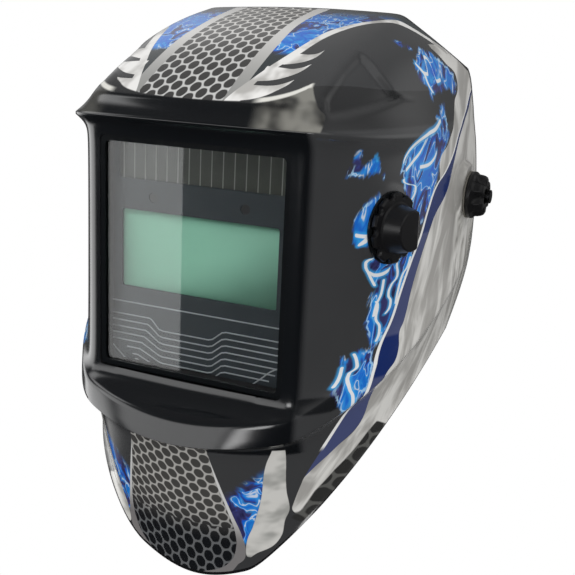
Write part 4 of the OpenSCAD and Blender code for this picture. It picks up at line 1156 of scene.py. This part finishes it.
class BuildPivots(bpy.types.Operator):
    """Pivot bolts, bushes, washers, slide blocks and tension knobs"""
    bl_idname = "helmet.pivots"
    bl_label = "Pivots"

    def execute(self, context):
        for side in ("left", "right"):
            for part in ("pivot_bush", "outer_washer", "slide_block", "pivot_bolt",
                         "friction_washer", "knob_insert"):
                softened(f"{part}_{side}", 0.25 * MM)
            self.tension_knob(side)
        return {"FINISHED"}

    def tension_knob(self, side):
        """Knob with six deep flutes that widen outwards."""
        node = f"tension_knob_{side}"
        low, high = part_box(node)
        out = 1 if side == "left" else -1
        inner = low.x if out > 0 else high.x
        tall = (high.x - low.x) / MM
        rim_r = (high.z - low.z) / 2 / MM
        body_r = rim_r - 1.4
        profile = [(4.6, 0), (rim_r - 0.6, 0), (rim_r, 0.6), (rim_r, 2.6), (rim_r - 0.7, 3.5),
                   (body_r, 4.2), (body_r - 0.2, tall * 0.6), (body_r - 0.6, tall - 2.2),
                   (body_r - 1.3, tall - 0.9), (body_r - 2.6, tall - 0.2), (body_r - 4.2, tall),
                   (6.6, tall), (5.9, tall - 0.5), (4.6, tall - 0.6), (4.6, 0)]

        def shape(r, angle, height):
            if height < 3.0 or r < 6.0:
                return r
            turn = math.degrees(angle) % 60 - 30
            valley = max(0.0, 1 - (turn / 17) ** 2)
            rise = min(1.0, (height - 3.0) / 2.5)
            return r - 3.2 * valley * rise * min(1.0, (r - 6.0) / 4)
        made = placed(turned(profile, 144, shape), (inner, 0, 0), (out, 0, 0))
        mesh = mesh_from(made, node + "_mesh")
        knob = add_object(f"tension-knob-{side}", mesh, BODY_OF[node], SLOT_OF[node], node)
        rounded(knob, 0.3 * MM, 2, 45)


class BuildHeadgear(bpy.types.Operator):
    """Headband, straps, arms, ratchet and pads"""
    bl_idname = "helmet.headgear"
    bl_label = "Headgear"

    def execute(self, context):
        for node in ("headband", "crown_strap_left", "crown_strap_right", "crown_strap_peg",
                     "side_arm_left", "side_arm_right", "rear_band"):
            softened(node, 0.4 * MM)
        for node in ("ratchet_housing", "ratchet_cover", "housing_screws", "ratchet_pinion",
                     "rack_upper", "rack_lower"):
            softened(node, 0.3 * MM)
        softened("ratchet_knob", 1.0 * MM, segments=3)
        for node in ("brow_pad", "nape_pad"):
            self.pad(node)
        return {"FINISHED"}

    def pad(self, node):
        """Foam pad, its edges rounded by remeshing and smoothing."""
        made = bmesh.new()
        made.from_mesh(NODES[node].data)
        bmesh.ops.remove_doubles(made, verts=made.verts, dist=0.004 * MM)
        mesh = mesh_from(made, node + "_mesh")
        pad = add_object(node.replace("_", "-"), mesh, BODY_OF[node], SLOT_OF[node], node)
        remesh = pad.modifiers.new("voxels", "REMESH")
        remesh.mode = "VOXEL"
        remesh.voxel_size = 2.2 * MM
        remesh.use_smooth_shade = True
        smooth = pad.modifiers.new("smooth", "SMOOTH")
        smooth.factor = 0.5
        smooth.iterations = 6
        fine = pad.modifiers.new("fine", "SUBSURF")
        fine.levels = fine.render_levels = 1


# Soft panels that only reflections see: azimuth range, elevation range, blur, brightness.
# Angles are in degrees, and azimuth runs from the front towards the helmet's left.
REFLECTED_PANELS = (
    ((-110, -64), (-30, 8), 7, 2.0),
    ((-66, 0), (-2, 19), 3, 1.7),
    ((4, 17), (-2.5, 10), 3, 6.0),
    ((-76, -56), (24, 38), 5, 2.2),
    ((40, 100), (22, 60), 12, 0.4),
    ((-20, 20), (66, 86), 8, 0.4),
    ((120, 150), (-5, 25), 10, 0.35),
    ((-150, -120), (10, 40), 12, 0.5),
)
CAMERA_LENS = 58.39
CAMERA_SENSOR = 36
CAMERA_ANGLES = (23.66, 14.84, 2.79)
CAMERA_PLACE = (0.2338, -0.55378, 0.08448)


class BuildStage(bpy.types.Operator):
    """Lights, surroundings and camera"""
    bl_idname = "helmet.stage"
    bl_label = "Stage"

    def execute(self, context):
        self.lights()
        self.world()
        self.camera()
        return {"FINISHED"}

    def lights(self):
        key = self.panel("key panel", (-0.6, -0.9, 1.2), (0, 0, 0), 0.7, 0.7, 5)
        key.visible_glossy = False
        # This light reaches the cover lens alone
        card = self.panel("lens card", (-0.306, -0.401, -0.10), (-0.306, 0, -0.10), 0.30, 0.45, 0.62)
        lens = bpy.data.collections.new("lens")
        lens.objects.link(bpy.data.objects["front-cover-lens"])
        card.light_linking.receiver_collection = lens

    def panel(self, name, place, target, wide, tall, power):
        light = bpy.data.lights.new(name, "AREA")
        light.shape = "RECTANGLE"
        light.size = wide
        light.size_y = tall
        light.energy = power
        made = bpy.data.objects.new(name, light)
        made.location = place
        made.rotation_euler = (Vector(target) - Vector(place)).to_track_quat("-Z", "Y").to_euler()
        bpy.context.scene.collection.objects.link(made)
        return made

    def world(self):
        """White surroundings with no floor, seen in reflections as soft panels on dark grey."""
        world = bpy.context.scene.world or bpy.data.worlds.new("studio")
        bpy.context.scene.world = world
        world.use_nodes = True
        made = Finish.__new__(Finish)
        made.tree = world.node_tree
        place = made.node("ShaderNodeTexCoord").outputs["Generated"]
        x, y, z = made.axes(place)
        front = made.calc("MULTIPLY", y, -1.0)
        turn = made.calc("MULTIPLY", made.calc("ARCTAN2", x, front), math.degrees(1))
        rise = made.calc("MULTIPLY", made.calc("ARCSINE", z), math.degrees(1))

        def window(turns, rises, blur, strength):
            across = made.calc("MULTIPLY", made.step(turn, turns[0] - blur, turns[0] + blur),
                               made.step(turn, turns[1] + blur, turns[1] - blur))
            over = made.calc("MULTIPLY", made.step(rise, rises[0] - blur, rises[0] + blur),
                             made.step(rise, rises[1] + blur, rises[1] - blur))
            return made.calc("MULTIPLY", made.calc("MULTIPLY", across, over), strength)

        glow = made.calc("MULTIPLY_ADD", made.step(rise, -20, 70), 0.09, 0.02)
        behind = made.step(made.calc("ABSOLUTE", turn), 110, 165)
        glow = made.calc("MULTIPLY_ADD", behind, 0.08, glow)
        for panel in REFLECTED_PANELS:
            glow = made.calc("ADD", glow, window(*panel))
        fill = made.calc("MULTIPLY_ADD", made.step(rise, -90, 60), 0.35, 0.66)
        path = made.node("ShaderNodeLightPath").outputs
        seen = made.blend(path["Is Glossy Ray"], fill, glow)
        seen = made.blend(path["Is Camera Ray"], seen, 1.0)
        shade = made.tree.nodes["Background"]
        made.tree.links.new(seen, shade.inputs["Strength"])
        shade.inputs["Color"].default_value = (1, 1, 1, 1)
        world.cycles.sampling_method = "NONE"

    def camera(self):
        data = bpy.data.cameras.new("camera")
        data.lens = CAMERA_LENS
        data.sensor_width = CAMERA_SENSOR
        camera = bpy.data.objects.new("camera", data)
        bpy.context.scene.collection.objects.link(camera)
        turn, rise, roll = (math.radians(v) for v in CAMERA_ANGLES)
        forward = Vector((-math.sin(turn) * math.cos(rise), math.cos(turn) * math.cos(rise), -math.sin(rise)))
        right = Vector((math.cos(turn), math.sin(turn), 0))
        up = right.cross(forward)
        tilted_right = math.cos(roll) * right + math.sin(roll) * up
        tilted_up = -math.sin(roll) * right + math.cos(roll) * up
        matrix = Matrix((tilted_right, tilted_up, -forward)).transposed().to_4x4()
        matrix.translation = CAMERA_PLACE
        camera.matrix_world = matrix
        bpy.context.scene.camera = camera
        bpy.context.scene.view_settings.view_transform = "Standard"


class HelmetPanel(bpy.types.Panel):
    """Buttons that build the helmet, piece by piece"""
    bl_idname = "VIEW3D_PT_helmet"
    bl_label = "Welding Helmet"
    bl_space_type = "VIEW_3D"
    bl_region_type = "UI"
    bl_category = "Helmet"

    def draw(self, context):
        for operator in BUILD_ORDER:
            self.layout.operator(operator.bl_idname)
        for name in HelmetSizes.__annotations__:
            self.layout.prop(context.scene.helmet_sizes, name)
        for name in HelmetColours.__annotations__:
            self.layout.prop(context.scene.helmet_colours, name)


BUILD_ORDER = (BuildShell, BuildWindow, BuildCartridge, BuildControls, BuildPivots, BuildHeadgear, BuildStage)
CLASSES = (HelmetSizes, HelmetColours, *BUILD_ORDER, HelmetPanel)


def register():
    for item in CLASSES:
        bpy.utils.register_class(item)
    bpy.types.Scene.helmet_sizes = bpy.props.PointerProperty(type=HelmetSizes)
    bpy.types.Scene.helmet_colours = bpy.props.PointerProperty(type=HelmetColours)


def unregister():
    del bpy.types.Scene.helmet_colours
    del bpy.types.Scene.helmet_sizes
    for item in reversed(CLASSES):
        bpy.utils.unregister_class(item)


def main():
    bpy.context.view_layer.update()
    register()
    for operator in BUILD_ORDER:
        group, name = operator.bl_idname.split(".")
        getattr(getattr(bpy.ops, group), name)()
    bpy.context.view_layer.update()


if __name__ == "__main__":
    main()
